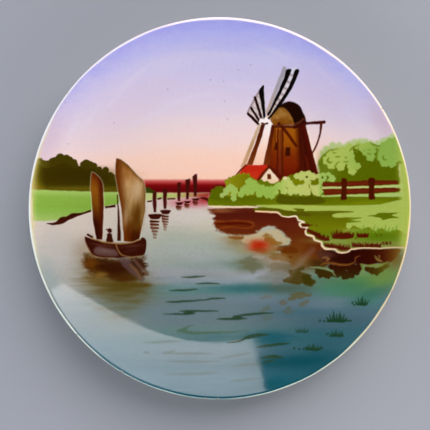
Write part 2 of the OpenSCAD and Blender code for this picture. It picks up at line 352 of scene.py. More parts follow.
def paint_boat(picture):
    """The sailing barge: its reflection, its hull, a tall pole and two brown sails."""
    picture.spray(-72, -44, 18, 9, (112, 94, 50), 0.7, fray=10)
    picture.spray(-87, -28, 8, 8, (140, 116, 86), 0.5)
    picture.spray(-64, -51, 17, 6, (86, 68, 20), 0.9, fray=10)
    picture.spray(-80, -45, 7, 3.6, (98, 70, 22), 0.7, fray=8)
    picture.spray(-63, -59, 17, 5, (98, 92, 58), 0.65, fray=10)
    picture.spray(-64, -67, 13, 5, (98, 106, 84), 0.5, fray=10)
    picture.spray(-66, -73, 8, 3, (104, 116, 102), 0.45, fray=9)
    picture.fill([(-88.5, -31), (-84, -31), (-66, -33), (-50, -31.6), (-49, -35), (-48, -38.4), (-49, -42),
            (-50, -46), (-58, -47), (-66, -47.6), (-74, -45), (-82, -43), (-87, -39.6)],
            lambda x, y: blend([(-48, (74, 54, 12)), (-43, (64, 32, 2)), (-39, (48, 16, 0)), (-35,
            (54, 22, 2)), (-32, (66, 38, 10))], y + 1.4 * np.sin(x / 4.0)), soft=4, opacity=0.95, fray=4,
            ragged=4)
    picture.spray(-69, -39, 11, 3, (52, 18, 0), 0.75, fray=6)
    picture.spray(-84, -36, 4.6, 4, (110, 62, 6), 0.7, fray=6)
    picture.spray(-77.5, -43.6, 3.6, 2, (128, 96, 34), 0.75, fray=4)
    picture.spray(-62, -46.4, 6, 1.8, (70, 34, 2), 0.8, fray=8)
    for x, y, wide, strength in [(-60, -50.4, 10, 0.8), (-66, -53, 6, 0.55), (-52, -50, 4, 0.6),
            (-74, -50, 6, 0.5), (-53.4, -54.6, 5, 0.5), (-62, -57, 7, 0.45), (-78, -55, 6, 0.35),
            (-70, -60, 6, 0.3), (-56, -61, 5, 0.35), (-62, -65.4, 6, 0.3), (-75, -66, 5, 0.22),
            (-66, -71, 6, 0.25)]:
        picture.spray(x, y, wide, 1.4, (82, 64, 14), strength, fray=9)
    picture.spray(-66, -74, 14, 7, (120, 128, 118), 0.35, fray=9)
    picture.stroke([(-64, -33), (-60.6, -36.6), (-56, -41), (-50.6, -46.4)], [4, 5.6, 5, 2.4], (96, 74, 76),
            soft=1.8, opacity=0.7)
    picture.stroke([(-56, -33.6), (-51.6, -39), (-47.6, -43.4)], [1.6, 2.6, 2], (112, 84, 72), soft=1.4,
            opacity=0.6)
    picture.stroke([(-58.6, -37), (-54.4, -41.4), (-51.6, -46)], [1, 1.2, 0.8], (128, 82, 32), soft=1,
            opacity=0.7)

    for sail in (SMALL_SAIL, BIG_SAIL):
        picture.stroke(sail + sail[:1], [1.1, 1.1], (222, 208, 190), soft=0.6, opacity=0.5)

    def small_sail_colour(x, y):
        ink = blend([(-20, (44, 6, 0)), (-10, (56, 12, 0)), (-5, (86, 36, 2)), (2, (118, 66, 10)), (11,
                (138, 80, 14)), (16, (120, 60, 8)), (20, (96, 34, 4)), (24, (84, 22, 2))], y + 0.8 * (x + 80))
        edge = np.clip((x + 79.6 + 0.02 * (y + 20)) / 2.4, 0, 1)[..., None] * 0.8
        return ink * (1 - edge) + np.array((72, 18, 2)) * edge

    def big_sail_colour(x, y):
        ink = blend([(-21, (54, 12, 0)), (-16, (66, 20, 2)), (-12, (100, 56, 12)), (-7, (134, 98, 46)), (0,
                (150, 114, 62)), (8, (170, 132, 84)), (15, (180, 138, 88)), (20, (174, 124, 70)), (26,
                (152, 96, 40)), (33, (104, 46, 8))], y)
        west = np.clip((-60.4 + 0.16 * (8 - y) * (y < 8) - 0.1 * (y - 8) * (y > 8) - x) / 4.6, 0, 1)[...,
                None] * 0.95
        ink = ink + 26 * (cloud(x.shape, (16, 5), 21)[..., None] - 0.5)
        edge = -49 - 0.95 * np.clip(y - 16, 0, 20) - 0.1 * np.clip(-4 - y, 0, 20)
        east = np.clip((x - edge + 2.8) / 3, 0, 1)[..., None] * 0.75
        ink = ink * (1 - west) + np.array((100, 42, 2)) * west
        return ink * (1 - east) + np.array((106, 64, 18)) * east

    picture.fill(SMALL_SAIL, small_sail_colour, soft=0.4)
    picture.fill(BIG_SAIL, big_sail_colour, soft=0.4)
    picture.spray(-54, 12, 3, 6, (204, 172, 132), 0.7, lean=-8)
    picture.spray(-54.2, -6, 3.2, 8.6, (86, 46, 2), 0.9, lean=-10)
    picture.spray(-61.4, -5, 1.7, 7, (170, 142, 102), 0.7, lean=-6)
    picture.spray(-50.6, -2, 1, 8, (150, 118, 72), 0.5, lean=-4)
    picture.fill([(-67.3, 9), (-66.6, 9), (-66.3, 3), (-65.5, -6), (-64.8, -14), (-64.6, -21.4), (-67, -21.4),
            (-66.8, -12), (-66.9, 0)], (58, 18, 4), soft=0.4, corners=True)
    paint_boatman(picture)
    paint_hull(picture)


SMALL_SAIL = [(-83.6, 23.6), (-83.6, 23.6), (-84.3, 19), (-84.3, 12), (-83.5, 2), (-82.8, -8), (-81.6, -15),
        (-80.6, -20.4), (-80.6, -20.4), (-76.9, -20.6), (-76.9, -20.6), (-76.2, -10), (-75.9, 0), (-76.1, 10),
        (-76.7, 16), (-78.6, 19.6), (-81.3, 22.4)]
BIG_SAIL = [(-67.6, 32.8), (-67.6, 32.8), (-68.3, 28), (-67.9, 20), (-66.4, 11), (-64.8, 2), (-63.6, -8),
        (-63.1, -15), (-62.7, -21.6), (-62.7, -21.6), (-57, -21.7), (-52.4, -19.8), (-52.4, -19.8),
        (-50.9, -12), (-49.4, -4), (-48.6, 4), (-48.8, 12), (-50.1, 18.2), (-53.2, 21), (-57, 25.2),
        (-61, 29.2), (-64.6, 31.9)]


def paint_boatman(picture):
    """A plain dark figure sitting amidships, under a round hat."""
    picture.dabs([(-72, -14.6, 1.5)], DARK_BROWN)
    picture.stroke([(-74, -14), (-70.7, -14.4)], [0.9, 0.7], DARK_BROWN)
    picture.fill([(-73.3, -16.6), (-70.9, -16.6), (-70.2, -19.5), (-69.8, -22), (-74, -22), (-73.8, -19)],
            DARK_BROWN)


def paint_hull(picture):
    outline = [(-88.3, -18.4), (-88.3, -18.4), (-84.5, -19.6), (-80, -21), (-74, -22.3), (-66, -23),
            (-58, -22.3), (-52.5, -20.5), (-50.3, -19.2), (-48.4, -20.6), (-47.9, -23.5), (-48.4, -27.5),
            (-50, -30.4), (-54, -31.4), (-62, -32.2), (-72, -32.4), (-80, -31.6), (-83.6, -30), (-86.2, -26),
            (-87.8, -22)]
    tan = (150, 112, 62)
    picture.fill(outline, (54, 12, 2), soft=0.4)
    picture.fill([(-82, -26.4), (-79, -24.8), (-75, -25.6), (-71, -26.4), (-68.4, -27), (-66.4, -30.4),
            (-70, -31.6), (-78, -31), (-82, -29.6)], (96, 66, 60), soft=1.6, opacity=0.9)
    picture.spray(-75, -28, 5, 1.2, (116, 88, 84), 0.6, lean=-6)
    picture.spray(-76, -24.2, 7, 0.6, (96, 50, 36), 0.7, lean=-8)
    picture.spray(-57, -24.6, 6, 0.9, (92, 50, 34), 0.6, lean=5)
    picture.spray(-58, -27.6, 4, 1.1, (70, 34, 26), 0.5, lean=14)
    picture.stroke([(-84.5, -19.6), (-80, -21), (-74, -22.4), (-66, -23.1), (-58, -22.4), (-52, -20.4)],
            [0.5, 1.1, 1.1, 0.8], tan, opacity=0.85)
    picture.stroke([(-67.8, -23), (-66.7, -27), (-63.8, -30.6), (-58, -31.8), (-51, -31.2)],
            [0.9, 1, 0.8, 0.7], tan, opacity=0.75)
    picture.stroke([(-87.8, -22), (-86.2, -26.2), (-83.6, -30.2), (-79, -32), (-70, -32.8)], [0.5, 0.8, 0.6],
            tan, opacity=0.5)
    picture.stroke([(-86.2, -17.3), (-83.4, -18.8)], [1.4, 1.3], DARK_BROWN)


def paint_middle_water(picture):
    """The mill's brown reflection, the red of its roof and the frayed patches under them."""
    picture.spray(20, -20, 16, 3.4, (186, 168, 126), 0.8, fray=8)
    picture.spray(12, -25, 10, 4, (140, 138, 106), 0.7, fray=8)
    picture.spray(21, -34, 9, 5, (126, 126, 100), 0.6, fray=5)
    picture.spray(36, -30, 10, 4, (140, 120, 84), 0.65, fray=5)
    for row in [(40, -34, 12, 6, (154, 132, 110), 0.75), (40, -44, 8, 4, (126, 120, 110), 0.6), (10, -21.6, 7,
            2.6, (138, 114, 72), 0.7)]:
        picture.spray(*row, fray=8)
    picture.spray(20, -37, 8, 4, (96, 102, 78), 0.75, fray=7)
    picture.spray(50, -39, 9, 3.4, (100, 78, 44), 0.75, fray=6)
    picture.fill([(-7.5, -1), (-3, -4.4), (-4, -7), (-2, -8), (-3.4, -10), (-1.6, -13.6), (4, -16.4),
            (12, -17.4), (20, -17), (25, -15), (28.6, -12.4), (34, -11.6), (38, -13), (41.6, -16.4),
            (43.6, -18.6), (46, -20), (46, -24), (42, -26), (41, -30), (45, -34), (47, -38), (52, -39.4),
            (58, -38.6), (63, -40), (69, -38), (71, -33), (72, -27), (67, -22), (60, -18), (55, -12),
            (51, -7), (46, -4), (36, -1), (24, 0.5), (8, 0.6)], lambda x, y: blend([(-38, (112, 86, 48)),
            (-32, (114, 72, 24)), (-26, (112, 56, 8)), (-18, (96, 32, 2)), (-11, (90, 24, 2)), (-4,
            (74, 12, 0)), (0, (84, 22, 4))], y + 0.3 * np.clip(52 - x, 0,
            24) * (x > 28) * (y < -12) + 0.5 * np.clip(x - 54, 0, 12)), soft=1.6, opacity=0.95, fray=2.4,
            ragged=1.8)
    picture.spray(1, -1.6, 7, 1.3, (164, 110, 58), 0.55)
    picture.spray(62, -28, 8, 4, (88, 30, 4), 0.6)
    picture.spray(65, -36.6, 6, 3.4, (56, 30, 2), 0.85, fray=3)
    gold, olive, umber = (138, 96, 36), (112, 106, 76), (96, 42, 2)
    for points, tint, strength in [([(15, -20), (17, -18.4), (24, -17.2), (27, -15.4), (33, -14.2),
            (38, -14.8), (41, -17), (43, -19), (45.6, -19.8), (45.4, -20.8), (43, -21.6), (45.6, -23),
            (43, -24), (39.6, -23.8), (36, -22.4), (32, -21), (27, -20), (21, -21), (16, -23)],
            (190, 170, 132), 0.85), ([(28, -17.4), (31, -16.4), (33, -18), (35.4, -19.6), (36, -21.4),
            (40, -22), (41, -23.6), (36, -24.4), (33, -23.6), (30, -21), (28.6, -19)], gold, 0.85),
            ([(31, -25.6), (36, -26.6), (40, -26), (40.6, -27.6), (37, -28.4), (39, -30), (34, -30.6),
            (29, -30.4), (27, -28.6)], (132, 108, 56), 0.75), ([(37, -26.4), (40, -24.6), (46, -24.4),
            (50, -26), (50.4, -29), (45, -29.6), (40, -28.4)], umber, 0.8), ([(32, -31), (38, -29.6),
            (45, -30.4), (47, -33), (43, -34.6), (37, -34), (34, -33)], (128, 92, 46), 0.75), ([(31, -19),
            (35, -20.4), (37, -23.4), (41, -26.4), (34, -27), (29, -24), (29, -21)], (138, 88, 28), 0.6),
            ([(44.6, -31.6), (47, -30.8), (48.4, -32), (45.4, -32.6)], umber, 0.8), ([(35, -33.4),
            (38, -32.8), (41, -33.8), (37, -34.4)], (146, 100, 56), 0.7), ([(13, -34.6), (16, -33),
            (18, -31.6), (23.6, -31), (24, -34), (25.4, -36.6), (29, -37.6), (29, -38.8), (25, -39.4),
            (22.4, -40), (24, -41.6), (21, -42.6), (19.6, -40.6), (17, -39.4), (15.6, -36.6)], (100, 102, 72),
            0.55), ([(21, -31.6), (25, -30.6), (29, -32), (26, -33.4), (22, -33)], (164, 152, 132), 0.7),
            ([(10, -26), (15, -24.6), (19, -27), (22, -29.6), (18, -31), (12, -29.6)], (146, 142, 106), 0.6),
            ([(31, -37.6), (36, -35.8), (41, -36.2), (47, -37.6), (45, -41), (40, -40.2), (35, -41.4)],
            (116, 104, 80), 0.6), ([(24, -44.6), (29, -43.4), (34, -44.4), (33, -47), (27, -47.4)],
            (124, 128, 122), 0.5), ([(34, -47), (38, -45), (42, -46), (40, -49), (36, -50)], (118, 116, 112),
            0.6), ([(45, -41.4), (49.6, -39.4), (54, -37.6), (55.4, -39), (53, -41.6), (56, -42.4),
            (59, -43.4), (60, -45.4), (62.4, -48), (60, -51.4), (56, -50.6), (53, -49.4), (48, -49.6),
            (42, -47.4), (45.6, -44.4)], (74, 58, 14), 0.92), ([(54, -44), (58.6, -44), (61.6, -48),
            (59.6, -51), (55, -49.4)], (58, 50, 4), 0.85), ([(46, -56.6), (50, -54.8), (55, -54.4), (57, -56),
            (60, -56.2), (59.6, -57.4), (56, -58), (52, -59.4), (45.2, -60), (46.4, -58)], (92, 88, 56),
            0.85), ([(26, -58.6), (31, -56.4), (35, -57.6), (31, -59.4)], (108, 108, 98), 0.65), ([(38, -62),
            (41, -60), (44.6, -61.2), (42.6, -63.6), (39.6, -63.4)], (98, 96, 80), 0.75), ([(52, -62.6),
            (55, -60.4), (58, -60.8), (55.6, -63.8), (53, -64.4)], (96, 94, 74), 0.75), ([(28, -65),
            (32, -63.6), (33, -65.6), (30, -67), (29, -69), (25, -69), (27, -67)], (92, 100, 84), 0.7),
            ([(44, -64.6), (47.4, -64), (46.6, -66.6), (49, -68), (44, -69.4), (42, -67.6)], (88, 96, 82),
            0.75), ([(27, -71.6), (31, -69.8), (35, -71), (31, -73)], (90, 102, 88), 0.5)]:
        picture.fill(points, tint, soft=1.0, opacity=strength, fray=1.6, ragged=2.4)
    picture.spray(21, -36, 5, 3, olive, 0.35, fray=5)
    picture.stroke([(61, -27), (55, -33), (50, -38.6), (44.6, -46)], [3, 4, 3.4, 2], (150, 132, 122),
            soft=3.4, opacity=0.32)
    picture.fill([(-3.6, -9), (0, -7.6), (5, -8.2), (10, -7.3), (15, -8), (20, -8.2), (22.8, -10),
            (22, -12.6), (17, -13.4), (8, -12.9), (2, -13.6), (-2, -12)], (132, 58, 14), soft=1.2,
            opacity=0.75)
    picture.fill([(-3, -9.9), (3, -9.2), (10, -8.6), (17, -9.2), (21, -10.4), (20, -12), (14, -12.2),
            (6, -11.6), (-1, -12)], (80, 16, 0), soft=1.0, opacity=0.95)
    picture.stroke([(-2, -11), (4, -11.6), (12, -11.2), (20, -11.6)], [0.5, 1, 0.9, 0.5], (122, 60, 12),
            soft=0.9, opacity=0.6)
    picture.fill([(5.6, -18.7), (15, -18.3), (15, -20), (11, -20.6), (7, -19.8)], (128, 74, 20), soft=0.8,
            opacity=0.9)
    for row in [(25, -24.6, 6.6, 3.6, (196, 70, 28), 0.92), (26, -24.2, 4.4, 2.7, (170, 32, 6), 0.85), (26,
            -27.4, 4, 1.4, (136, 60, 14), 0.7)]:
        picture.spray(*row, fray=3)


def paint_right_bank(picture):
    """The near bank: dark trees, a lawn with sunlit fingers, and its brown undercut shore."""
    lawn = [(-25, (128, 136, 58)), (-21, (106, 124, 28)), (-18, (100, 118, 10)), (-13, (112, 118, 6)), (-7,
            (100, 104, 2)), (-4, (92, 94, 2)), (0, (92, 94, 2))]
    light = (168, 184, 82)
    shore = [(23.6, -1.9), (30, -2.3), (37, -2.7), (39, -3.6), (41, -5), (45, -5.6), (49.6, -5), (51, -6.6),
            (51.6, -7.6), (55.4, -9), (52.2, -10), (53.4, -12), (57.4, -12.9), (56.2, -15.2), (57.2, -17.4),
            (61, -18.2), (62.2, -20.6), (66.2, -22.2), (67, -24.6), (69.4, -26.5), (75, -26.6), (77, -28.4),
            (80, -29), (84, -28.4), (86.4, -26.9), (94, -26), (104, -26.2), (112, -25.6), (124, -26)]
    picture.fill([(22, 0.4), (22, 0.4)] + shore + [(124, -26), (124, 3), (124, 3), (60, 3)], upward(lawn),
            soft=0.8)
    picture.fill([(-7.4, 2.2), (-6.8, 6.6), (-4, 9), (20, 9.6), (60, 9.6), (124, 9.6), (124, 3.4), (90, 1.8),
            (60, 1.9), (44, 1.8), (30, 1.7), (18, 1.4), (4, 1.5), (-3, 1.7)], lambda x, y: blend([(1.5,
            (114, 126, 8)), (4, (100, 112, 2)), (9, (88, 98, 0))], y + 1.2 * np.sin(x / 9) + 0.03 * (60 - x)),
            soft=0.6, fray=1.6)
    picture.fill([(24, 2.1), (40, 2.2), (70, 1.8), (90, 2), (104, 2.6), (124, 4.6), (124, -16), (116, -14),
            (110, -15.4), (106, -13), (102, -15.2), (98, -12.4), (93, -13.6), (88, -11.6), (84, -13.6),
            (82.4, -11.4), (83.4, -9.6), (90, -8.6), (85.6, -7.4), (92.6, -6.3), (84, -6), (76, -6),
            (73.4, -4.6), (77, -3.2), (88, -2.6), (84, -1.9), (66, -1.7), (56, -1.7), (54.6, -0.3),
            (48, -0.3), (50.4, -1.9), (43, -1.2), (38, 0), (30, 0.6)], light, soft=0.5, fray=1.6)
    picture.fill([(97, -5), (101, -4.4), (104, -3), (110, -2.9), (116, -3.2), (113, -4.6), (117, -6.4),
            (111, -6.6), (106.6, -7.8), (104, -6)], (92, 106, 4), soft=0.5, fray=2.4)
    picture.stroke([(84, -7.1), (88, -6.8), (92.6, -6.3)], [0.7, 1, 0.4], (108, 130, 20), soft=0.5)
    picture.stroke([(84, -9.2), (88, -8.8), (92.4, -8.7)], [0.8, 1, 0.4], (108, 130, 20), soft=0.5)
    for row in [(96, -19, 26, 2.2, (104, 132, 32), 0.6), (104, -18.4, 9, 2.2, (84, 112, 4), 0.8), (86, -14.6,
            6, 1.2, (156, 164, 70), 0.7), (74, -21.4, 14, 1.5, (148, 158, 80), 0.6), (106, -23.6, 14, 1.4,
            (122, 132, 60), 0.7)]:
        picture.spray(*row)
    picture.fill([(24, -0.6), (30, -0.2), (37, -0.4), (41, -1.4), (47, -2.4), (56, -2.6), (60, -5), (51, -5),
            (44, -4), (41, -2.8), (38, -2.2), (30, -1.6), (24, -1.4)], (84, 80, 4), soft=0.8)
    picture.stroke([(-7, 1.4), (-2, 1.1), (4, 0.7), (12, 0.9), (20, 0.9), (24.6, 0.5)],
            [0.8, 1.6, 1.2, 1.3, 0.6], (236, 210, 172), soft=0.6)
    paint_right_trees(picture)
    paint_shoreline(picture, shore)


def paint_right_trees(picture):
    leaf_near, leaf_far = (172, 188, 86), (142, 174, 72)

    def leaf_colour(x, y):
        return blend([(0, leaf_near), (1, leaf_far)], (x - 84) / 16 + 0.3 * np.sin(y / 4))

    picture.stroke([(117, 45), (119.8, 36), (121.6, 20), (122.4, 4)], [4, 6, 8, 8], (172, 190, 92), soft=3,
            opacity=0.9)
    haze = [(67.4, 36, 1.9), (70, 38.6, 2.4), (74, 40.4, 2.8), (78, 40.8, 2.4), (82, 40, 2.4),
            (85, 41.6, 2.4), (88, 43, 2.2), (91.4, 43.6, 2.2), (95, 43.4, 2.4), (99, 42.4, 2.2),
            (103, 41.6, 2.6), (107, 43.6, 2.6), (110.4, 44.6, 2.6), (114, 46, 3), (118, 47, 3)]
    picture.dabs(haze, (178, 196, 124), soft=1.5, opacity=0.9, lobes=3)
    picture.fill([(63.4, 8), (63.4, 8), (63.2, 20), (63.6, 28), (64.8, 31), (67.4, 34.2), (71.6, 37.6),
            (76, 39.4), (82, 38.6), (88, 41), (94, 42), (104, 41), (112, 44), (121, 45), (120, 30), (117, 29),
            (117.6, 22), (118, 16), (118, 8), (118, 8)], (88, 100, 0), soft=0.9, ragged=1.2)
    clumps = [[(70.6, 31.4, 3.2), (73, 28.6, 3), (72, 35.6, 2.6), (75.4, 33.6, 3.2), (76.4, 37.6, 2.4),
            (75.6, 31, 2.8), (79.4, 36, 3), (79, 33, 3)], [(79, 27.2, 2.9), (77.6, 29.6, 2),
            (81.4, 31.4, 3.4), (85, 33, 3.4), (83.6, 37, 3.6), (86.6, 28.4, 3.4), (86.6, 24.6, 2.8),
            (90, 27.6, 2.2), (85, 40, 2.4), (80.4, 38.6, 2), (89.6, 40.6, 2)], [(91, 41.6, 2),
            (93.6, 39.6, 3), (97.4, 40.2, 3.4), (99.6, 37.6, 2.6), (98.6, 33.6, 3), (95.6, 36.6, 2.4),
            (101, 40.6, 1.8)], [(105.4, 38, 3), (108.4, 40, 4), (112.6, 41.6, 4.4), (106, 33.6, 3.4),
            (107.6, 30, 3), (111.4, 34.6, 4.6), (112.4, 29.6, 3), (115.4, 33.6, 3.4), (116.4, 38.4, 4),
            (117, 44, 4), (120, 34, 3.4), (119, 40, 4)]]
    picture.spray(70, 26, 6, 9, (106, 126, 26), 0.7)
    for spots in clumps:
        picture.dabs(spots, leaf_colour, soft=0.5, lobes=5)
    for points, widths in [([(65, 30.6), (68.4, 35), (72.6, 38), (77.4, 38.8)], [1, 1.1, 0.8, 0.3]),
            ([(74.6, 26.8), (76.4, 29), (78.4, 30.6)], [0.4, 0.9, 0.4]), ([(84.8, 37.2), (87, 39.6),
            (91.4, 41.6)], [0.5, 1.2, 0.4]), ([(90.8, 39.6), (89.4, 37), (87.6, 37.6)], [0.6, 1, 0.5]),
            ([(71.6, 33.2), (70.6, 31.4), (71.8, 29.9), (73.6, 30.4)], [0.6, 1.6, 1.6, 0.5]), ([(107.4, 34.4),
            (106.8, 32.8), (107.8, 31.6), (109.4, 31.6)], [0.6, 1.3, 1, 0.4]), ([(73.8, 36.6), (75, 36.2),
            (76, 36.3)], [0.5, 0.8, 0.4]), ([(76, 33.7), (78.4, 33.6)], [0.9, 0.8]), ([(82, 33.2),
            (83, 32.9)], [0.8, 0.7]), ([(81, 30.6), (82.6, 30.1), (84, 30.6)], [0.5, 0.9, 0.4]),
            ([(96.8, 38.2), (98.2, 38.1)], [0.6, 0.5]), ([(96.6, 35.8), (98.6, 35.3)], [0.6, 0.8]),
            ([(94, 37.6), (95, 37.7)], [0.5, 0.4]), ([(98.4, 43.4), (101, 41.4), (105, 40.6)],
            [0.4, 1.2, 0.5]), ([(103.6, 38.4), (102.6, 35), (103, 31)], [1.2, 1.2, 0.8])]:
        picture.stroke(points, widths, (104, 128, 24), soft=0.5, opacity=0.9)
    picture.fill([(66.6, 14.4), (66.6, 12.6), (80, 12.6), (100, 13.2), (121, 13.4), (121, 15.6), (98, 14.6),
            (80, 14.4)], (188, 200, 118), soft=0.5, corners=True)
    picture.fill([(66.6, 8.8), (80, 9), (98, 9.4), (118, 10.4), (122, 9), (121, 7.4), (104, 7.4), (80, 7.6),
            (66, 7.4)], (172, 194, 104), soft=0.6, corners=True, fray=1.5)
    fade = np.clip((picture.x - 113) / 7, 0, 1) * np.clip((np.hypot(picture.x, picture.y) - 115.4) / 6, 0, 1)
    fade = fade * np.clip((picture.y + 30) / 6, 0, 1) * np.clip((46 - picture.y) / 6, 0, 1)
    picture.lay((slice(None), slice(None)), fade * 0.85, (172, 186, 80), 0.1)


def paint_shoreline(picture, shore):
    """The cream water line under the bank, the earth below it and the bank's dark reflection."""
    picture.spray(98, -47, 19, 5.6, (92, 134, 60), 0.85, lean=8)
    picture.spray(84, -52, 15, 5, (64, 114, 82), 0.85, lean=4)
    picture.spray(108, -42, 9, 7, (106, 132, 62), 0.85, lean=60)
    picture.spray(115, -33, 5, 6, (108, 88, 34), 0.85)
    picture.spray(74, -53, 10, 2.6, (74, 126, 104), 0.5, fray=4)
    picture.spray(98, -57, 12, 3.4, (54, 104, 82), 0.7, lean=22)
    picture.spray(66, -41, 6, 2.4, (100, 124, 92), 0.5, fray=3)
    earth = across([(66, (84, 44, 26)), (74, (50, 12, 2)), (86, (42, 5, 0)), (98, (52, 8, 0)), (106,
            (66, 18, 2)), (112, (92, 48, 10)), (118, (120, 88, 30))])
    picture.fill([(64, -28), (70, -26.6), (78, -28.6), (88, -27), (104, -26.6), (118, -26.6), (117, -30),
            (113.6, -34), (109, -36), (103, -36), (99, -37), (95, -36.6), (88, -36.4), (79, -37), (70, -36),
            (65, -33)], earth, soft=1.0)
    picture.dabs([(112.4, -30.6, 2.6), (108.4, -32, 2.2), (98.6, -34.6, 2.6), (95.4, -33.6, 3),
            (102.4, -31, 2)], earth, soft=0.8, lobes=5)
    picture.dabs([(73, -38.4, 2), (76.6, -39, 2.8), (79.4, -41.6, 3), (82, -43.6, 3), (85.6, -43, 3),
            (89, -41, 2.9), (91, -38.6, 2.6), (86, -38.6, 3.4), (81, -38.6, 3), (76.6, -43, 2.4)],
            upward([(-44, (52, 34, 4)), (-39, (50, 16, 1))]), soft=0.8, lobes=5)
    picture.dabs([(64.6, -41, 2.4), (67.4, -42, 2.9), (70.4, -43.4, 2.7), (72.6, -43, 2), (66, -43.6, 2)],
            (56, 40, 4), soft=0.7, lobes=5)
    picture.dabs([(96.6, -39.6, 1.9), (99.6, -40.8, 2.3), (102.6, -41.4, 2.4), (105.6, -39.8, 2),
            (108.4, -38, 1.8), (110.4, -37.4, 1)], across([(95, (56, 28, 0)), (104, (72, 58, 4)), (111,
            (98, 88, 22))]), soft=0.9, lobes=5)
    for points, width, tint in [([(67, -32.6), (69, -32), (71, -33.2), (69.6, -34.4)], 1.8, (138, 92, 48)),
            ([(66, -37), (70, -35.6), (76, -36.4), (80, -37), (85, -36.8), (88.6, -35)], 1.3, (128, 76, 28)),
            ([(88.6, -35), (89, -32.4), (91.6, -31)], 1.1, (112, 56, 20)), ([(92, -36.4), (93.4, -38.6),
            (93.6, -41), (92.4, -44)], 1.6, (112, 134, 60)), ([(59, -38.4), (64, -38.8), (69, -39.6),
            (73, -41), (76, -44.4)], 1.4, (122, 142, 94)), ([(93, -36.4), (95.6, -37.8), (100, -37.4),
            (104, -37.8), (108, -35.8), (110.4, -35)], 1.6, (120, 128, 52)), ([(101.4, -31), (103.4, -33.6),
            (106.4, -35)], 1.6, (128, 104, 44)), ([(104, -30.6), (104.4, -32.6)], 1.2, (120, 84, 36))]:
        picture.stroke(points, [0.6, width, width, 0.5], tint, soft=0.8, opacity=0.9)
    picture.spray(80, -33, 5, 1.6, (40, 4, 0), 0.6)
    picture.spray(71, -30.6, 4, 1.6, (84, 50, 42), 0.6)
    picture.stroke(shore, [1.1, 1.2, 0.8, 1.1, 0.9, 1.1, 1.3, 1.0, 1.4, 1.1, 1.4, 1.1, 1.1, 1.1, 0.9, 0.8],
            across([(30, (242, 200, 150)), (48, (246, 226, 194)), (74, (238, 206, 168)), (112,
            (214, 184, 140))]), soft=0.45)
    paint_tufts(picture)


def paint_tufts(picture):
    """Brown grass along the water line, blade by blade."""
    brown = (82, 18, 2)
    rng = np.random.default_rng(43)
    for outline in [[(73.6, -19.6), (75.4, -17.6), (79, -16.6), (84, -16.4), (87.6, -18), (86, -19.6),
            (80, -20.2)], [(90, -18.6), (92, -17), (95.4, -17), (97.4, -18.4), (94, -19.2)], [(57, -13.6),
            (60, -14.6), (64.6, -16.4), (68, -18.6), (72, -20.8), (68, -21.2), (64, -19.8), (61.6, -17.6),
            (57.6, -15.6)], [(69, -23.6), (73, -24), (79, -25), (85.4, -26.2), (80, -27.8), (76.4, -26.4),
            (70.6, -25.6)], [(53.6, -9.8), (57, -10.2), (60, -11.2), (57.6, -12), (54, -12.2)], [(97, -24),
            (104, -23.8), (102, -25), (98, -25)], [(88, -24.2), (93, -23.8), (94, -24.8), (90, -25)]]:
        picture.fill(outline, brown, soft=0.5, opacity=0.92)
    rows = [(74, -17.8, 88, -18, 19, 6.4), (90, -17.8, 97.4, -18, 9, 4.8), (58, -14.4, 72, -20.2, 12, 2.8),
            (69, -24, 85.6, -26, 15, 3.6), (87, -24.2, 106, -24.4, 21, 3.8), (107, -22.6, 113, -22.4, 4, 1.8)]
    for x0, y0, x1, y1, count, tall in rows:
        for k in range(count):
            t = (k + rng.uniform(-0.3, 0.3)) / count
            x, y = x0 + (x1 - x0) * t, y0 + (y1 - y0) * t
            lean = rng.uniform(-0.9, 0.9) + 1.4 * (t - 0.5)
            height = tall * rng.uniform(0.55, 1)
            picture.stroke([(x, y - 0.7), (x + lean * 0.3, y + height * 0.2), (x + lean, y + height * 0.6)],
                    [1.2, 0.9, 0.25], brown, soft=0.4, opacity=0.85)
    for k in range(13):
        x = 86 + 2.4 * k
        picture.stroke([(x, -15.6), (x + 0.4, -14), (x + 1.1, -12.4 + 1.6 * ((k * 7) % 3 == 0))],
                [1.6, 1, 0.3], (104, 142, 30), soft=0.5, opacity=0.8)
    for x, y in [(60.4, -10.6), (63.4, -11.4), (57.6, -9.8), (89, -19.8), (102.6, -18), (105.4, -17.6)]:
        picture.dabs([(x, y, 0.6)], (92, 60, 4), soft=0.5, opacity=0.8)


def paint_fence(picture):
    """Two brown rails over two posts; the lower rail ends in a point."""
    rails = [[(67.2, 14.1), (80, 14.2), (98, 14.8), (116.6, 15.8), (116.8, 18.2), (98, 18.4), (80, 17.3),
            (67.4, 17.2)], [(66.8, 12.5), (69, 12.6), (82, 12.9), (100, 13.1), (114.4, 13.5), (118.6, 12),
            (114.4, 10.6), (100, 9.9), (82, 9), (68.2, 8.5), (68, 11)]]
    posts = [[(79.2, 6), (81.4, 5.4), (83.2, 6.2), (82.8, 12), (83.2, 18.6), (81.4, 19.6), (79.6, 18.6),
            (79.8, 12)], [(97.4, 6.2), (99.6, 5.8), (101.6, 6.4), (100.8, 12), (101.6, 18.8), (99.6, 20),
            (97.2, 19), (97.6, 12)]]
    for outline in rails:
        picture.fill(outline, (98, 26, 6), soft=0.5, corners=True)
        middle = np.mean(outline, axis=0)
        inner = [middle + (np.array(p) - middle) * (0.98, 0.45) for p in outline]
        picture.fill(inner, (110, 36, 8), soft=0.9, corners=True, opacity=0.7)
    for outline in posts:
        picture.fill(outline, (74, 18, 0), soft=0.5)


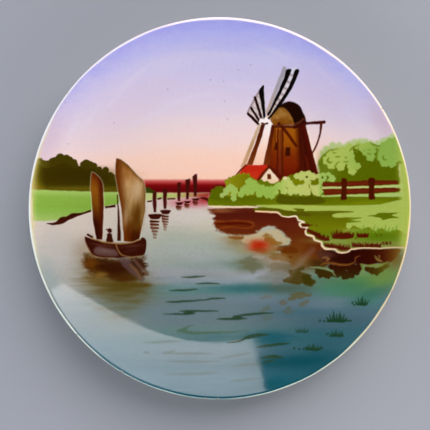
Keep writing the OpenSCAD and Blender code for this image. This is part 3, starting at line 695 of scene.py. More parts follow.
def paint_house(picture):
    """A low white cottage under a red roof, before the foot of the mill."""
    picture.fill([(10.4, 19.6), (17.2, 28.3), (31.8, 28.4), (32, 26), (25.4, 18.4)], (190, 36, 16), soft=0.4,
            corners=True)
    picture.fill([(12, 19.6), (18, 23.6), (27, 23.4), (25, 18.6)], (196, 52, 24), soft=3, opacity=0.6,
            corners=True)
    picture.fill([(32.3, 26.4), (26, 19), (27.6, 17), (30, 15.6), (35, 15.4), (37, 16.8), (38.8, 18.8)],
            (238, 210, 180), corners=True)
    picture.spray(34, 17.4, 5, 1.5, (232, 196, 146), 0.8)
    picture.stroke([(10, 20.8), (13.4, 24.6), (17.4, 28.4)], [0.8, 1.2, 1], (104, 18, 2))
    picture.stroke([(32.6, 27.6), (28.6, 23), (25, 18.4)], [1.4, 1.8, 2], (100, 26, 4), soft=0.6)
    picture.stroke([(32, 27.6), (36.8, 23.4), (41.4, 18.8)], [1.6, 2.1, 2.3], (82, 18, 2), soft=0.6)
    picture.fill([(31, 19), (33.6, 19.2), (33.5, 22.5), (31.1, 22.4)], (92, 30, 6), soft=0.6, corners=True)


def paint_bushes(picture):
    """Olive shadow under light stencilled leaf, along the foot of the house and the mill."""
    picture.dabs([(-4.4, 8, 2.2), (-4.2, 11, 1.8), (-1.4, 12.6, 1.9), (0.6, 13.2, 1.6), (3, 11.6, 2.2),
            (-1, 9, 4), (4, 9, 4)], (86, 96, 0), soft=0.5)
    picture.stroke([(-6.4, 9), (-5.6, 12.4), (-2.6, 14.8), (0.6, 15.4), (3.6, 14.4)],
            [0.7, 0.7, 0.9, 0.7, 0.4], (92, 24, 14), soft=0.6, opacity=0.8)
    picture.dabs([(4.6, 17.4, 1.6), (7, 18.8, 1.7), (9.6, 20, 1.7), (12.4, 21.2, 1.7), (15.4, 21.6, 1.6),
            (18.4, 21.2, 1.5)], (132, 132, 14), lobes=3)
    picture.fill([(3.6, 16.8), (6, 18.6), (9, 20), (13, 21.6), (17, 22), (21, 20.4), (24, 18.6), (27, 16.6),
            (33, 15), (38, 17), (44, 21), (48, 22.4), (54, 24), (58, 24.4), (62, 22.4), (64, 20), (66, 8),
            (66, 8), (5, 8), (5, 8)], across([(4, (140, 138, 20)), (16, (118, 116, 2)), (30, (96, 104, 2)),
            (66, (104, 108, 0))]), soft=0.6)
    picture.fill([(25.6, 18.2), (27.4, 19), (29, 17.6), (31, 18), (32.6, 16.6), (35.4, 16.2), (38, 17.4),
            (41.4, 17.2), (41, 13), (26, 13)], (98, 110, 6), soft=0.5)
    leaf = across([(0, (164, 182, 96)), (12, (154, 182, 82)), (20, (148, 178, 72)), (34, (146, 178, 70)), (44,
            (182, 194, 102)), (64, (188, 194, 106)), (66, (156, 184, 86))])
    groups = [[(7, 13.2, 2.7), (4.4, 11.4, 2.2), (9.6, 11.6, 2.5), (1.6, 8.4, 1.6), (3.4, 9.6, 1.5),
            (9, 9, 2), (9.2, 6.5, 2)], [(15.4, 11.6, 2.4), (14, 9.2, 2.2), (17.4, 13.4, 2.4), (19.6, 17, 2.9),
            (22.2, 16.4, 2.4), (20.4, 12.4, 3.4), (24, 13.6, 2.8), (18.4, 10.4, 1.9)], [(26, 9.4, 2.3),
            (27.4, 13, 2.7), (30.4, 11.6, 3), (34.4, 12, 2.7), (31, 8.6, 2), (34, 8.2, 2.3),
            (36.4, 10.6, 2.2), (37.6, 14, 2.2), (28.6, 10, 1.4)], [(40, 14.6, 2.7), (43.4, 17.6, 3.2),
            (46, 15.4, 2.8), (42, 11.6, 2.4), (46.4, 10.8, 2.4), (50, 11.6, 2.4), (53.4, 11, 2.6),
            (57, 11, 2.7), (49, 13, 2.2), (56, 14, 2.4), (60.6, 14, 1.8), (61.6, 10.8, 2), (64.4, 10, 2.2),
            (63.4, 13.4, 2.4), (66, 11.6, 1.8), (52.4, 13.4, 2.2)], [(50.4, 21, 2), (53.6, 20.8, 2.7),
            (53.8, 22.2, 2.2), (57.8, 21.4, 3.2), (61, 20.6, 2.4), (57, 18, 2), (59, 16.6, 1.3)],
            [(64.4, 21, 1.6), (67.4, 20.4, 2.9), (70.6, 20.8, 2.8), (73.6, 19.4, 2.2), (66, 17.4, 1.8),
            (65.4, 15, 1.4)]]
    for spots in groups:
        picture.dabs(spots, leaf, soft=0.45, lobes=5)
    picture.dabs([(43, 20, 0.9), (42.2, 19.4, 0.6)], (248, 216, 184), soft=0.5, opacity=0.8)
    picture.fill([(47.2, 19.4), (50, 18.8), (53, 17.8), (55.6, 17.4), (54.6, 15.8), (52, 15.6), (50, 14.6),
            (48, 16.4)], (116, 122, 0), soft=0.5)
    picture.fill([(59.4, 16.4), (61.4, 18.2), (64.6, 17.6), (64.2, 15.6), (60.6, 15.2)], (104, 108, 0),
            soft=0.5)
    picture.stroke([(12.4, 12.4), (12.8, 11.2)], [1.3, 0.6], (92, 100, 2))
    for x, y, radius in [(56.8, 20.4, 0.75), (67.2, 20.2, 0.7)]:
        picture.dabs([(x, y, radius)], (60, 66, 0), soft=0.4)
    picture.stroke([(70, 21.2), (71, 20), (70, 18.8)], [0.5, 1.2, 0.5], (74, 88, 0))
    picture.fill([(39, 9), (41, 9.2), (44, 8), (50, 7.8), (57, 7.4), (60.2, 9), (61.4, 7.4), (66.4, 7.6),
            (67, 3), (39, 3)], (74, 74, 0), soft=0.6, opacity=0.85)
    picture.stroke([(59.6, 11), (60.2, 9)], [0.5, 1.3], (86, 88, 0))


def paint_mill(picture):
    """A brown smock mill: tower, cap, tail pole and four sails in front."""
    picture.stroke([(57.6, 51), (60.4, 40), (64.4, 24)], [1.4, 2, 2.4], (250, 226, 206), soft=1.6,
            opacity=0.6)

    def clapboard(x, y):
        lit = blend([(20, (96, 14, 0)), (28, (116, 30, 2)), (35, (122, 42, 2)), (42, (146, 72, 4)), (53,
                (160, 88, 12))], y)
        rim = np.clip((37.6 - x) / 5, 0, 1)[..., None] * 0.5
        lit = lit * (1 - rim) + np.array((92, 24, 2)) * rim
        shade = blend([(49, (70, 14, 0)), (55, (60, 9, 0)), (60, (80, 14, 4)), (64, (94, 22, 5))],
                x + 0.25 * (y - 40))
        far = np.clip((x - 48.6 + 0.06 * (y - 50)) / 3.6, 0, 1)[..., None]
        return lit * (1 - far) + shade * far

    picture.fill([(34.6, 54), (33.2, 46), (31.4, 36), (30, 27.6), (34, 20), (40, 17), (64, 17), (64.7, 22),
            (61, 35), (58.4, 45), (55.6, 57), (49.6, 54)], clapboard, soft=0.6, corners=True)
    picture.fill([(49.6, 24), (46, 17), (54, 17), (54, 30)], (76, 14, 0), soft=2.4, opacity=0.8, corners=True)
    picture.stroke([(39.6, 51), (39.4, 20)], [1.1, 1.1], (104, 42, 20), soft=0.6, opacity=0.8)
    for a, b, width, tint in [((38.1, 51.6), (37.6, 20), 1.1, (76, 16, 2)), ((41, 53.6), (40.9, 19), 1.4,
            (82, 22, 2)), ((40.4, 54), (50, 41), 2, (72, 14, 0)), ((34.4, 53.7), (50.6, 53.3), 2.0,
            (72, 20, 4)), ((36.2, 52), (36, 44), 0.8, (90, 30, 4)), ((52.4, 52), (57.4, 24), 0.5,
            (78, 22, 8)), ((56.4, 34), (59, 22), 1.2, (96, 20, 6)), ((54, 44), (54.6, 24), 0.5, (82, 20, 8)),
            ((45.4, 33), (45.8, 22), 0.5, (110, 30, 6))]:
        picture.stroke([a, b], [width, width], tint, soft=0.6, opacity=0.88)
    picture.fill([(42.8, 34), (46.2, 34.2), (46.1, 39.9), (43, 39.8)], (60, 12, 0), soft=0.7, corners=True)
    picture.fill([(35.6, 38), (37.6, 38), (37.6, 43.4), (36.2, 43.2)], (66, 16, 0), soft=0.7, corners=True)
    paint_mill_cap(picture)
    paint_sails(picture)


def paint_mill_cap(picture):
    picture.fill([(33.2, 57.6), (33.8, 60.4), (36, 63), (38.6, 65.6), (42, 66.4), (46, 63.6), (48.6, 59),
            (50.4, 54.6), (50.4, 54.6), (35, 54.4), (35, 54.4)], lambda x, y: blend([(54, (100, 44, 6)), (57,
            (130, 72, 12)), (62, (150, 102, 42)), (66, (130, 80, 24))], y + 0.4 * np.abs(x - 40)), soft=0.5)
    for x, y, size, tint in [(37.6, 59.4, 1.6, (172, 130, 72)), (41, 61.6, 2, (166, 124, 62)), (44, 58.6, 1.5,
            (132, 78, 18)), (40.4, 57.4, 1.4, (122, 68, 14)), (39.6, 64, 1.2, (170, 126, 66)), (36, 57.4, 1,
            (124, 70, 18)), (46, 56.6, 1.4, (112, 58, 12))]:
        picture.spray(x, y, size, size * 0.7, tint, 0.6)
    picture.fill([(38.6, 65.9), (40.4, 68), (43, 69.4), (46, 69.9), (49.6, 69), (52.6, 66.4), (54.6, 62.4),
            (56, 58.6), (55.6, 56.4), (52, 55), (49.6, 53.6), (48.6, 55.4), (47.6, 58.6), (45.8, 62),
            (43.4, 64.8), (41, 66)], (28, 6, 0), soft=0.6)
    picture.stroke([(48.4, 54.2), (51.4, 55.8), (55.4, 58.8)], [1.4, 1.5, 1.1], (92, 42, 20), soft=0.7,
            opacity=0.85)
    picture.stroke([(49, 52.8), (52, 54.2), (56, 56.4)], [1.6, 1.8, 1.4], (56, 10, 2), soft=0.5)
    picture.dabs([(38.6, 55.2, 1.0)], (70, 18, 4), soft=0.6)
    picture.stroke([(55, 55.2), (60, 55.7), (68.2, 56.3)], [1.7, 1.8, 2.1], (58, 10, 2), soft=0.4)
    picture.stroke([(66.2, 56), (65.9, 50), (64.4, 44.6), (62.6, 40), (60.8, 36.6)],
            [1.9, 1.2, 1.1, 1.1, 0.9], (74, 22, 8), soft=0.4)


def paint_sails(picture):
    black = (10, 5, 4)
    brown = (62, 16, 2)
    white = (214, 198, 196)

    def ink(x, y):
        return blend([(50, brown), (62, black)], y)

    picture.stroke([(42.4, 91.4), (38.4, 81), (34, 70.6), (30.8, 63)], [2.8, 2.6, 2.2, 1.4], upward([(62,
            (190, 162, 138)), (80, (166, 158, 164))]), soft=0.7, opacity=0.95)
    picture.fill([(44, 90.6), (51, 90.6), (46, 79), (41, 70), (35, 62), (31.6, 58.6), (31, 61), (35, 69),
            (40, 80)], upward([(58, (228, 194, 164)), (70, (228, 212, 208)), (90, (220, 214, 228))]),
            soft=0.4)
    for x, y in [(47.2, 87), (45.2, 82.4), (43, 78.3), (40.7, 74.5), (38.4, 71), (36.4, 67.8)]:
        picture.stroke([(x - 1.1, y + 0.3), (x + 0.9, y - 0.3)], [1.5, 1.5], (160, 138, 142), soft=0.9,
                opacity=0.85)
    picture.fill([(43.6, 90.6), (46.8, 90.6), (45, 85.2), (42.4, 80), (39.9, 75), (37.3, 70), (34.6, 65),
            (32.4, 61), (31, 60.6), (31.2, 62), (33, 65.4), (35.2, 70), (37.6, 75), (39.8, 80), (41.9, 85)],
            ink, soft=0.4)
    picture.fill([(49.2, 90.4), (51.9, 90.4), (50.4, 85.6), (48, 80), (45.1, 75), (41.8, 70), (38.4, 65.4),
            (34.8, 61), (32, 57.8), (31.4, 58.6), (33.4, 61.6), (36, 65.4), (39.2, 70), (42.4, 75),
            (45.2, 80), (47.6, 85.4)], ink, soft=0.4)
    picture.fill([(28.4, 79.8), (25, 75.4), (21.4, 69), (18.2, 62.4), (19, 60.8), (24.6, 56.4), (29.4, 57.6),
            (29.4, 70)], white, soft=0.4, corners=True)
    for points in [[(24.6, 73), (27, 72.4)], [(22.8, 69.4), (25.4, 68.6), (27.6, 68.8)], [(21.4, 66.6),
            (24.8, 64.6), (28, 65.2)], [(20.6, 63.6), (23, 62.6), (26, 61), (28.4, 61.6)], [(24, 59.4),
            (27, 59.6)]]:
        picture.stroke(points, [0.7, 0.7], (164, 140, 146), soft=0.7, opacity=0.6)
    picture.stroke([(27.8, 79.6), (24.6, 74.4), (21.2, 68.4), (18.2, 62.4)], [1.2, 1.2, 1.2, 1.4],
            (160, 138, 140), soft=0.5)
    picture.fill([(25.6, 76.2), (27.4, 79.4), (28.8, 80.2), (29, 75), (29.3, 69), (30, 59.2), (28.6, 58.8),
            (27.9, 63), (26.8, 70)], ink, soft=0.4)
    for points, width in [([(23.2, 72.2), (24.8, 66.6), (27.6, 57.6)], [1.9, 1.8, 1.4]), ([(20.6, 65.8),
            (23, 61.8), (26, 57)], [1.3, 1.6, 1.4]), ([(18.6, 61.8), (22, 58.6), (25.4, 55.2)],
            [1.9, 1.9, 1.6])]:
        picture.stroke(points, width, (34, 10, 4), soft=0.4)
    picture.fill([(25.2, 55), (27.2, 54.8), (20.6, 38), (16.8, 28), (13.6, 26.6), (14.2, 28.4)], upward([(26,
            (206, 160, 122)), (40, (184, 146, 104)), (54, (206, 178, 150))]), soft=0.6, corners=True)
    for row in [([(29.6, 55), (34, 54.6), (31.4, 40), (29, 28.8), (20.4, 28.8), (24, 41)], upward([(27,
            (246, 196, 166)), (38, (248, 208, 186)), (50, (248, 230, 222)), (55, (244, 234, 232))])),
            ([(27.4, 55.6), (30, 55.6), (27.6, 47), (24.4, 37.6), (21.4, 28.4), (17.6, 28.4), (20.2, 35),
            (23.4, 43), (25.9, 50.6)], upward([(28, (118, 54, 14)), (42, (88, 30, 4)), (55, (70, 18, 2))])),
            ([(34, 54.6), (36, 54), (34.8, 46), (33.8, 38), (32.4, 28), (28.4, 28.4), (30, 36), (31.8, 44)],
            upward([(28, (112, 46, 10)), (54, (76, 20, 2))]))]:
        picture.fill(*row, soft=0.4, corners=True)
    picture.fill([(25.8, 57.4), (27, 59), (28.6, 58.4), (30, 59.6), (32, 58.2), (33.4, 56.2), (34.4, 54.8),
            (30, 54.6), (26, 55.4)], (250, 238, 234), soft=0.6)
    picture.stroke([(27.6, 55.6), (29.4, 55.1), (31, 55.5)], [1.2, 0.9, 1.3], brown, soft=0.4)


def paint_ripples(picture):
    """Short dark strokes on the near water, pale ones further down, and reeds at the lower right."""
    dark = [([(-25, -45.2), (-18, -44.9), (-9.4, -44.3)], 1.1), ([(-16, -49.3), (-8, -49), (0, -49.4)], 1.1),
            ([(-33, -53.8), (-24, -53.6), (-14.4, -53)], 1.2), ([(-35.4, -61.2), (-26, -61), (-8, -59.8)],
            1.3), ([(-10, -60), (-4, -59), (3.6, -58.9)], 1.1), ([(-26.6, -67.3), (-18, -67.2), (-1, -67.2)],
            1.2), ([(-36.8, -69.2), (-24, -69.2), (-16.4, -68.9)], 1.1), ([(-24, -68.4), (-16.4, -68.3)],
            1.9), ([(-2, -72.4), (8, -72.4), (18, -72)], 1.7), ([(9, -70.4), (20, -69.4), (35, -68.4)], 1.4),
            ([(8, -71.4), (15, -71.2)], 1.8), ([(4.6, -88), (12, -86.8), (18, -84.8)], 1.3), ([(14, -85.6),
            (22, -83.4), (32, -82.4)], 2.2), ([(24, -91), (30, -90), (40, -88.8), (46, -88.3)], 1.7),
            ([(26, -98), (34, -97), (41.6, -97.6)], 2.2), ([(28, -101), (36, -99)], 1.2)]
    for points, width in dark:
        picture.stroke(points, [0.3, width, width, 0.4], RIPPLE, soft=0.7, opacity=0.85)
    picture.fill([(-16, -76.4), (-20, -76.6), (-24, -78), (-28.6, -80), (-25, -81.2), (-18, -82.4), (-6, -82),
            (6, -81.4), (19, -79.8), (6, -80.4), (-8, -80.6), (-18, -80.6), (-21.4, -79.4), (-20, -77.6)],
            (78, 104, 84), soft=0.8, opacity=0.85)
    for points in [[(-50, -88), (-38, -87.4), (-25, -86.8)], [(-38, -94.8), (-20, -95), (-5, -95)],
            [(-37, -94.6), (-33, -94), (-29, -93)], [(0, -98.2), (10, -96.4), (20, -94.6)], [(-35, -100),
            (-18, -100.4), (0, -100)], [(8, -103.4), (17, -102.4), (27, -101.6)], [(-36, -108.6),
            (-16, -108.2), (0, -107.5)], [(6, -113.4), (17, -112), (28, -111)], [(-50, -94.4), (-46, -94.2)]]:
        picture.stroke(points, [0.3, 1.5, 1.5, 0.4], (34, 62, 48), soft=1.0, opacity=0.5)
    for x0, y0, half, tall, count, strength in [(93, -62, 3.6, 4.6, 6, 0.85), (76.6, -73, 6.6, 6, 9, 0.95),
            (54, -80, 4, 2.2, 5, 0.4), (76.4, -82.6, 4.6, 3.4, 7, 0.7), (61, -91.6, 4.6, 3.4, 6, 0.85)]:
        for k in range(count):
            t = k / (count - 1) * 2 - 1
            x = x0 + half * t * 0.75
            reach = tall * (1 - 0.6 * t * t) * (1 if k % 2 else 0.72)
            tip = (x + 1.5 * t + 0.5 * (k % 3 - 1), y0 + reach)
            picture.stroke([(x, y0 - 0.6), ((x + tip[0]) / 2 + 0.2 * t, (y0 + tip[1]) / 2), tip],
                    [1.3, 0.9, 0.3], (26, 56, 30), soft=0.4, opacity=strength)
        picture.stroke([(x0 - half, y0 - 1), (x0 - half * 0.3, y0 - 0.6), (x0 + half * 0.5, y0 - 0.9),
                (x0 + half, y0 - 0.6)], [0.8, 1.9, 1.9, 0.8], (26, 58, 34), soft=0.5, opacity=strength)
    for x, y in [(65.6, -73.6), (68.4, -73.8), (84, -73.6), (85.6, -73.4), (48.6, -91.6), (52, -92),
            (55, -92), (57, -91.2), (70, -82.4), (88, -63.2), (86.8, -61.8), (66.8, -91.4)]:
        picture.dabs([(x, y, 0.75)], (28, 58, 36), opacity=0.85)


def painted():
    """The whole painting, far to near."""
    picture = Picture()
    paint_sky(picture)
    paint_water(picture)
    paint_far_shore(picture)
    paint_left_bank(picture)
    paint_small_boats(picture)
    paint_boat(picture)
    paint_middle_water(picture)
    paint_right_bank(picture)
    paint_mill(picture)
    paint_house(picture)
    paint_bushes(picture)
    paint_fence(picture)
    paint_ripples(picture)
    return picture


# ---------------------------------------------------------------- the plate's outline, as part.scad has it

LIP_Z = 25.3              # height of the lip's middle
PLATE_R = 125.0
GLAZE = 0.35
LIP_R = 1.7
WELL_R = 56.0
WELL_Z = 9.8
WELL_WALL = 4.6
LIP_WALL = 3.4
RIM_ANGLE = math.radians(33)
FOOT_OUT = 77.0
FOOT_IN = 72.0
FOOT_H = 5.2
FOOT_EDGE = 1.3
FOOT_ROOT = 1.6
LIP_X = PLATE_R - LIP_R
FACE_END_R = LIP_X - LIP_R * math.sin(RIM_ANGLE)
FACE_END_Z = LIP_Z + LIP_R * math.cos(RIM_ANGLE)
RIM_RUN = FACE_END_R - WELL_R
RIM_RISE = FACE_END_Z - WELL_Z
RIM_POWER = math.tan(RIM_ANGLE) * RIM_RUN / RIM_RISE

HOLE_Y = 61.0
HOLE_Z = 3.0
HOLE_D = 2.6
WIRE_D = 1.2
LOOP_HALF = 57.0
LOOP_TOP = 103.0
TWIST_L = 10.0
BEND_R = 3.0
TIP_GAP = 0.15
REST_GAP = 0.1


def along_rim(r):
    return max(0.0, (r - WELL_R) / RIM_RUN)


def slope(r):
    return math.atan(math.tan(RIM_ANGLE) * along_rim(r) ** (RIM_POWER - 1))


def wall(r):
    return WELL_WALL - (WELL_WALL - LIP_WALL) * along_rim(r) ** 2


def below_face(r, depth):
    """The point (radius, height) a depth under the face, square to it."""
    height = WELL_Z + RIM_RISE * along_rim(r) ** RIM_POWER
    return (r + depth * math.sin(slope(r)), height - depth * math.cos(slope(r)))


def arc(centre, radius, start, end, steps=12):
    turns = np.radians(np.linspace(start, end, steps + 1))
    return [(centre[0] + radius * math.cos(a), centre[1] + radius * math.sin(a)) for a in turns]


def root_radius():
    """The radius of the face above the fillet between the underside and the foot ring."""
    r = FOOT_OUT
    for _ in range(8):
        r = FOOT_OUT + FOOT_ROOT - (wall(r) + FOOT_ROOT) * math.sin(slope(r))
    return r


def underside(depth, steps):
    """From the lip's outermost point to the fillet of the foot ring."""
    lip = arc((LIP_X, LIP_Z), LIP_R - depth, 0, math.degrees(RIM_ANGLE) - 90)
    radii = np.linspace(FACE_END_R, root_radius(), steps + 1)[1:]
    return lip + [below_face(r, wall(r) - depth) for r in radii]


def foot_outside(depth):
    root = root_radius()
    centre = below_face(root, wall(root) + FOOT_ROOT)
    return (arc(centre, FOOT_ROOT + depth, 90 + math.degrees(slope(root)), 180,
            8)[1:] + arc((FOOT_OUT - FOOT_EDGE, FOOT_EDGE), FOOT_EDGE - depth, 0, -90, 8))


def foot_inside(depth):
    return (arc((FOOT_IN + FOOT_EDGE, FOOT_EDGE), FOOT_EDGE - depth, -90, -180, 8) + arc((FOOT_IN - FOOT_ROOT,
            FOOT_H - FOOT_ROOT), FOOT_ROOT + depth, 0, 90, 8))


# ---------------------------------------------------------------- mesh tools

def turned(name, rings, closed_line=False):
    """A solid of revolution. Each ring is (radius, height, points round it); counts may double or halve from
    ring to ring, and a radius of 0 is one point. A closed line ends where it starts."""
    points, starts, faces = [], [], []
    for radius, height, count in rings:
        starts.append(sum(len(p) for p in points))
        turn = np.arange(count) * (2 * math.pi / count) if radius > 0 else np.zeros(1)
        points.append(np.column_stack([radius * np.cos(turn), radius * np.sin(turn), np.full(len(turn),
                height)]))
    pairs = list(zip(range(len(rings) - 1), range(1, len(rings))))
    if closed_line:
        pairs.append((len(rings) - 1, 0))
    for a, b in pairs:
        faces += band(starts[a], len(points[a]), starts[b], len(points[b]))
    return new_mesh(name, np.concatenate(points), faces)


def band(a, a_count, b, b_count):
    """The faces between two rings, as arrays of vertex numbers."""
    if a_count == 1 and b_count == 1:
        return []
    if a_count == b_count:
        i = np.arange(a_count)
        j = (i + 1) % a_count
        return [np.column_stack([a + i, b + i, b + j, a + j])]
    if a_count == 1:
        i = np.arange(b_count)
        return [np.column_stack([np.full(b_count, a), b + i, b + (i + 1) % b_count])]
    if b_count == 1:
        i = np.arange(a_count)
        return [np.column_stack([a + i, np.full(a_count, b), a + (i + 1) % a_count])]
    if b_count == 2 * a_count:
        i = np.arange(a_count)
        j = (i + 1) % a_count
        middle, end = 2 * i + 1, (2 * i + 2) % b_count
        return [np.column_stack([a + i, b + 2 * i, b + middle]), np.column_stack([a + i, b + middle, a + j]),
                np.column_stack([a + j, b + middle, b + end])]
    if a_count == 2 * b_count:
        i = np.arange(b_count)
        j = (i + 1) % b_count
        middle, end = 2 * i + 1, (2 * i + 2) % a_count
        return [np.column_stack([a + 2 * i, b + i, a + middle]), np.column_stack([a + middle, b + i, b + j]),
                np.column_stack([a + middle, b + j, a + end])]
    raise ValueError("ring counts must be equal, doubled or halved")


def new_mesh(name, points, face_arrays):
    """A smooth-shaded mesh object from millimetre points and arrays of faces."""
    corners = np.concatenate([f.ravel() for f in face_arrays]).astype(np.int32)
    sizes = np.concatenate([np.full(len(f), f.shape[1]) for f in face_arrays])
    starts = np.concatenate([[0], np.cumsum(sizes)[:-1]]).astype(np.int32)
    mesh = bpy.data.meshes.new(name)
    mesh.vertices.add(len(points))
    mesh.vertices.foreach_set("co", (points * MM).astype(np.float32).ravel())
    mesh.loops.add(len(corners))
    mesh.loops.foreach_set("vertex_index", corners)
    mesh.polygons.add(len(sizes))
    mesh.polygons.foreach_set("loop_start", starts)
    mesh.update(calc_edges=True)
    mesh.validate()
    mesh.set_sharp_from_angle(angle=math.radians(50))
    piece = bpy.data.objects.new(name, mesh)
    bpy.context.scene.collection.objects.link(piece)
    return piece


def vertices(piece):
    flat = np.empty(len(piece.data.vertices) * 3, np.float32)
    piece.data.vertices.foreach_get("co", flat)
    return flat.reshape(-1, 3) / MM


def move_vertices(piece, points):
    piece.data.vertices.foreach_set("co", (points * MM).astype(np.float32).ravel())
    piece.data.update()


def wrap(piece):
    """Turns a piece's faces outwards."""
    work = bmesh.new()
    work.from_mesh(piece.data)
    bmesh.ops.recalc_face_normals(work, faces=work.faces)
    work.to_mesh(piece.data)
    work.free()


def pierce(piece):
    """Cuts the wire's two holes through the foot ring."""
    side = 48
    turn = np.arange(side) * (2 * math.pi / side)
    ring = np.column_stack([np.zeros(side), HOLE_Y + HOLE_D / 2 * np.cos(turn),
            HOLE_Z + HOLE_D / 2 * np.sin(turn)])
    ends = [ring + (x, 0, 0) for x in (-FOOT_OUT, FOOT_OUT)]
    i = np.arange(side)
    walls = np.column_stack([i, (i + 1) % side, side + (i + 1) % side, side + i])
    caps = [np.arange(side)[::-1][None, :], (side + np.arange(side))[None, :]]
    cutter = new_mesh("drill", np.concatenate(ends), [walls] + caps)
    wrap(cutter)
    cut = piece.modifiers.new("holes", "BOOLEAN")
    cut.operation = "DIFFERENCE"
    cut.solver = "EXACT"
    cut.object = cutter
    view_layer = bpy.context.view_layer
    view_layer.update()
    cut_mesh = bpy.data.meshes.new_from_object(piece.evaluated_get(bpy.context.evaluated_depsgraph_get()))
    piece.modifiers.clear()
    piece.data = cut_mesh
    cut_mesh.set_sharp_from_angle(angle=math.radians(50))
    bpy.data.objects.remove(cutter)


def keep(piece, body, slot, *nodes):
    """Hangs a finished piece on its body in place of its CAD nodes."""
    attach(piece, body)
    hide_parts(*nodes)


# ---------------------------------------------------------------- the plate

CHIPS = [(-94.5, 0.5, 0.9), (-90.5, 0.6, 1.2), (-82.9, 0.4, 0.8), (31.5, 0.4, 1.0), (-26, 0.4, 1.0),
        (-138.5, 0.45, 1.0), (-120.9, 0.5, 1.2), (-117.7, 0.45, 0.9), (143, 0.35, 0.8), (12, 0.3, 0.7),
        (-66, 0.3, 0.7)]


def chipped(points):
    """How deep the lip's small chips go at each point, 0 to 1 mm. Each is (degrees round, depth, width)."""
    radius = np.hypot(points[:, 0], points[:, 1])
    turn = np.degrees(np.arctan2(points[:, 1], points[:, 0]))
    depth = np.zeros(len(points))
    for where, deep, wide in CHIPS:
        away = (turn - where + 180) % 360 - 180
        u = np.abs(np.radians(away)) * PLATE_R / (wide / 2 * 1.3)
        v = (PLATE_R - radius) / (0.9 * wide)
        ragged = 1 + 0.25 * np.sin(away * 9.0 + where) + 0.15 * np.sin(away * 23.0)
        depth = np.maximum(depth, deep * np.clip(1.15 * ragged - u ** 2 - v ** 2, 0, 1) ** 0.6)
    return depth


def press_chips(points, depth):
    """Moves chipped points straight in towards the middle of the lip's wall."""
    radius = np.maximum(np.hypot(points[:, 0], points[:, 1]), 1e-6)
    inward_r = radius - (LIP_X - 0.4)
    inward_z = points[:, 2] - (LIP_Z - 0.2)
    length = np.maximum(np.hypot(inward_r, inward_z), 1e-6)
    shift = np.minimum(depth, length * 0.6) * (length < 3.4)
    points = points.copy()
    points[:, 0] -= points[:, 0] / radius * inward_r / length * shift
    points[:, 1] -= points[:, 1] / radius * inward_r / length * shift
    points[:, 2] -= inward_z / length * shift
    return points


def face_rings():
    """The painted face, dense enough to hold the picture, then the coat's inner side."""
    spacing = 0.4
    rings = [(0.0, WELL_Z, 1)]
    count = 64
    for r in np.arange(spacing, FACE_END_R, spacing):
        while count < 2048 and 2 * math.pi * r / count > spacing * 1.3:
            count *= 2
        rings.append((r,) + (below_face(r, 0)[1], count))
    rings += [(r, z, 2048) for r, z in arc((LIP_X, LIP_Z), LIP_R, 90 + math.degrees(RIM_ANGLE), 0, 22)]
    inner = arc((LIP_X, LIP_Z), LIP_R - GLAZE, 0, 90 + math.degrees(RIM_ANGLE), 8)
    counts = [2048, 1024, 512, 256] + [128] * 5
    rings += [(r, z, n) for (r, z), n in zip(inner, counts)]
    rings += [below_face(r, GLAZE) + (128,) for r in np.linspace(FACE_END_R, WELL_R, 16)[1:]]
    return rings + [(0.0, WELL_Z - GLAZE, 1)]


CAMERA_X = -3.1           # the camera stands above this point of the plate
CAMERA_Y = -4.4
CAMERA_RISE = 664.0       # its height above the middle of the lip


def seen_across_rim(points):
    """Where the line of sight to each point of the face crosses the plane of the lip."""
    scale = CAMERA_RISE / (CAMERA_RISE + LIP_Z - points[:, 2])
    return (CAMERA_X + (points[:, 0] - CAMERA_X) * scale, CAMERA_Y + (points[:, 1] - CAMERA_Y) * scale)


def sampled(raster, x, y):
    """A raster's values at places in millimetres."""
    u = np.clip((x + PICTURE_HALF) / PITCH, 0, raster.shape[1] - 1.001)
    v = np.clip((y + PICTURE_HALF) / PITCH, 0, raster.shape[0] - 1.001)
    i, j = u.astype(int), v.astype(int)
    u, v = u - i, v - j
    if raster.ndim == 3:
        u, v = u[:, None], v[:, None]
    return ((raster[j, i] * (1 - u) + raster[j, i + 1] * u) * (1 - v) + (raster[j + 1,
            i] * (1 - u) + raster[j + 1, i + 1] * u) * v)


def linear(colour):
    """From 0 to 255 screen values to linear light."""
    c = np.clip(colour / 255, 0, 1)
    return np.where(c <= 0.04045, c / 12.92, ((c + 0.055) / 1.055) ** 2.4)


def add_layer(piece, name, values):
    kind = "FLOAT_COLOR" if values.ndim == 2 else "FLOAT"
    layer = piece.data.attributes.new(name, kind, "POINT")
    if values.ndim == 2:
        values = np.column_stack([values, np.ones(len(values))])
        layer.data.foreach_set("color", values.astype(np.float32).ravel())
    else:
        layer.data.foreach_set("value", values.astype(np.float32).ravel())


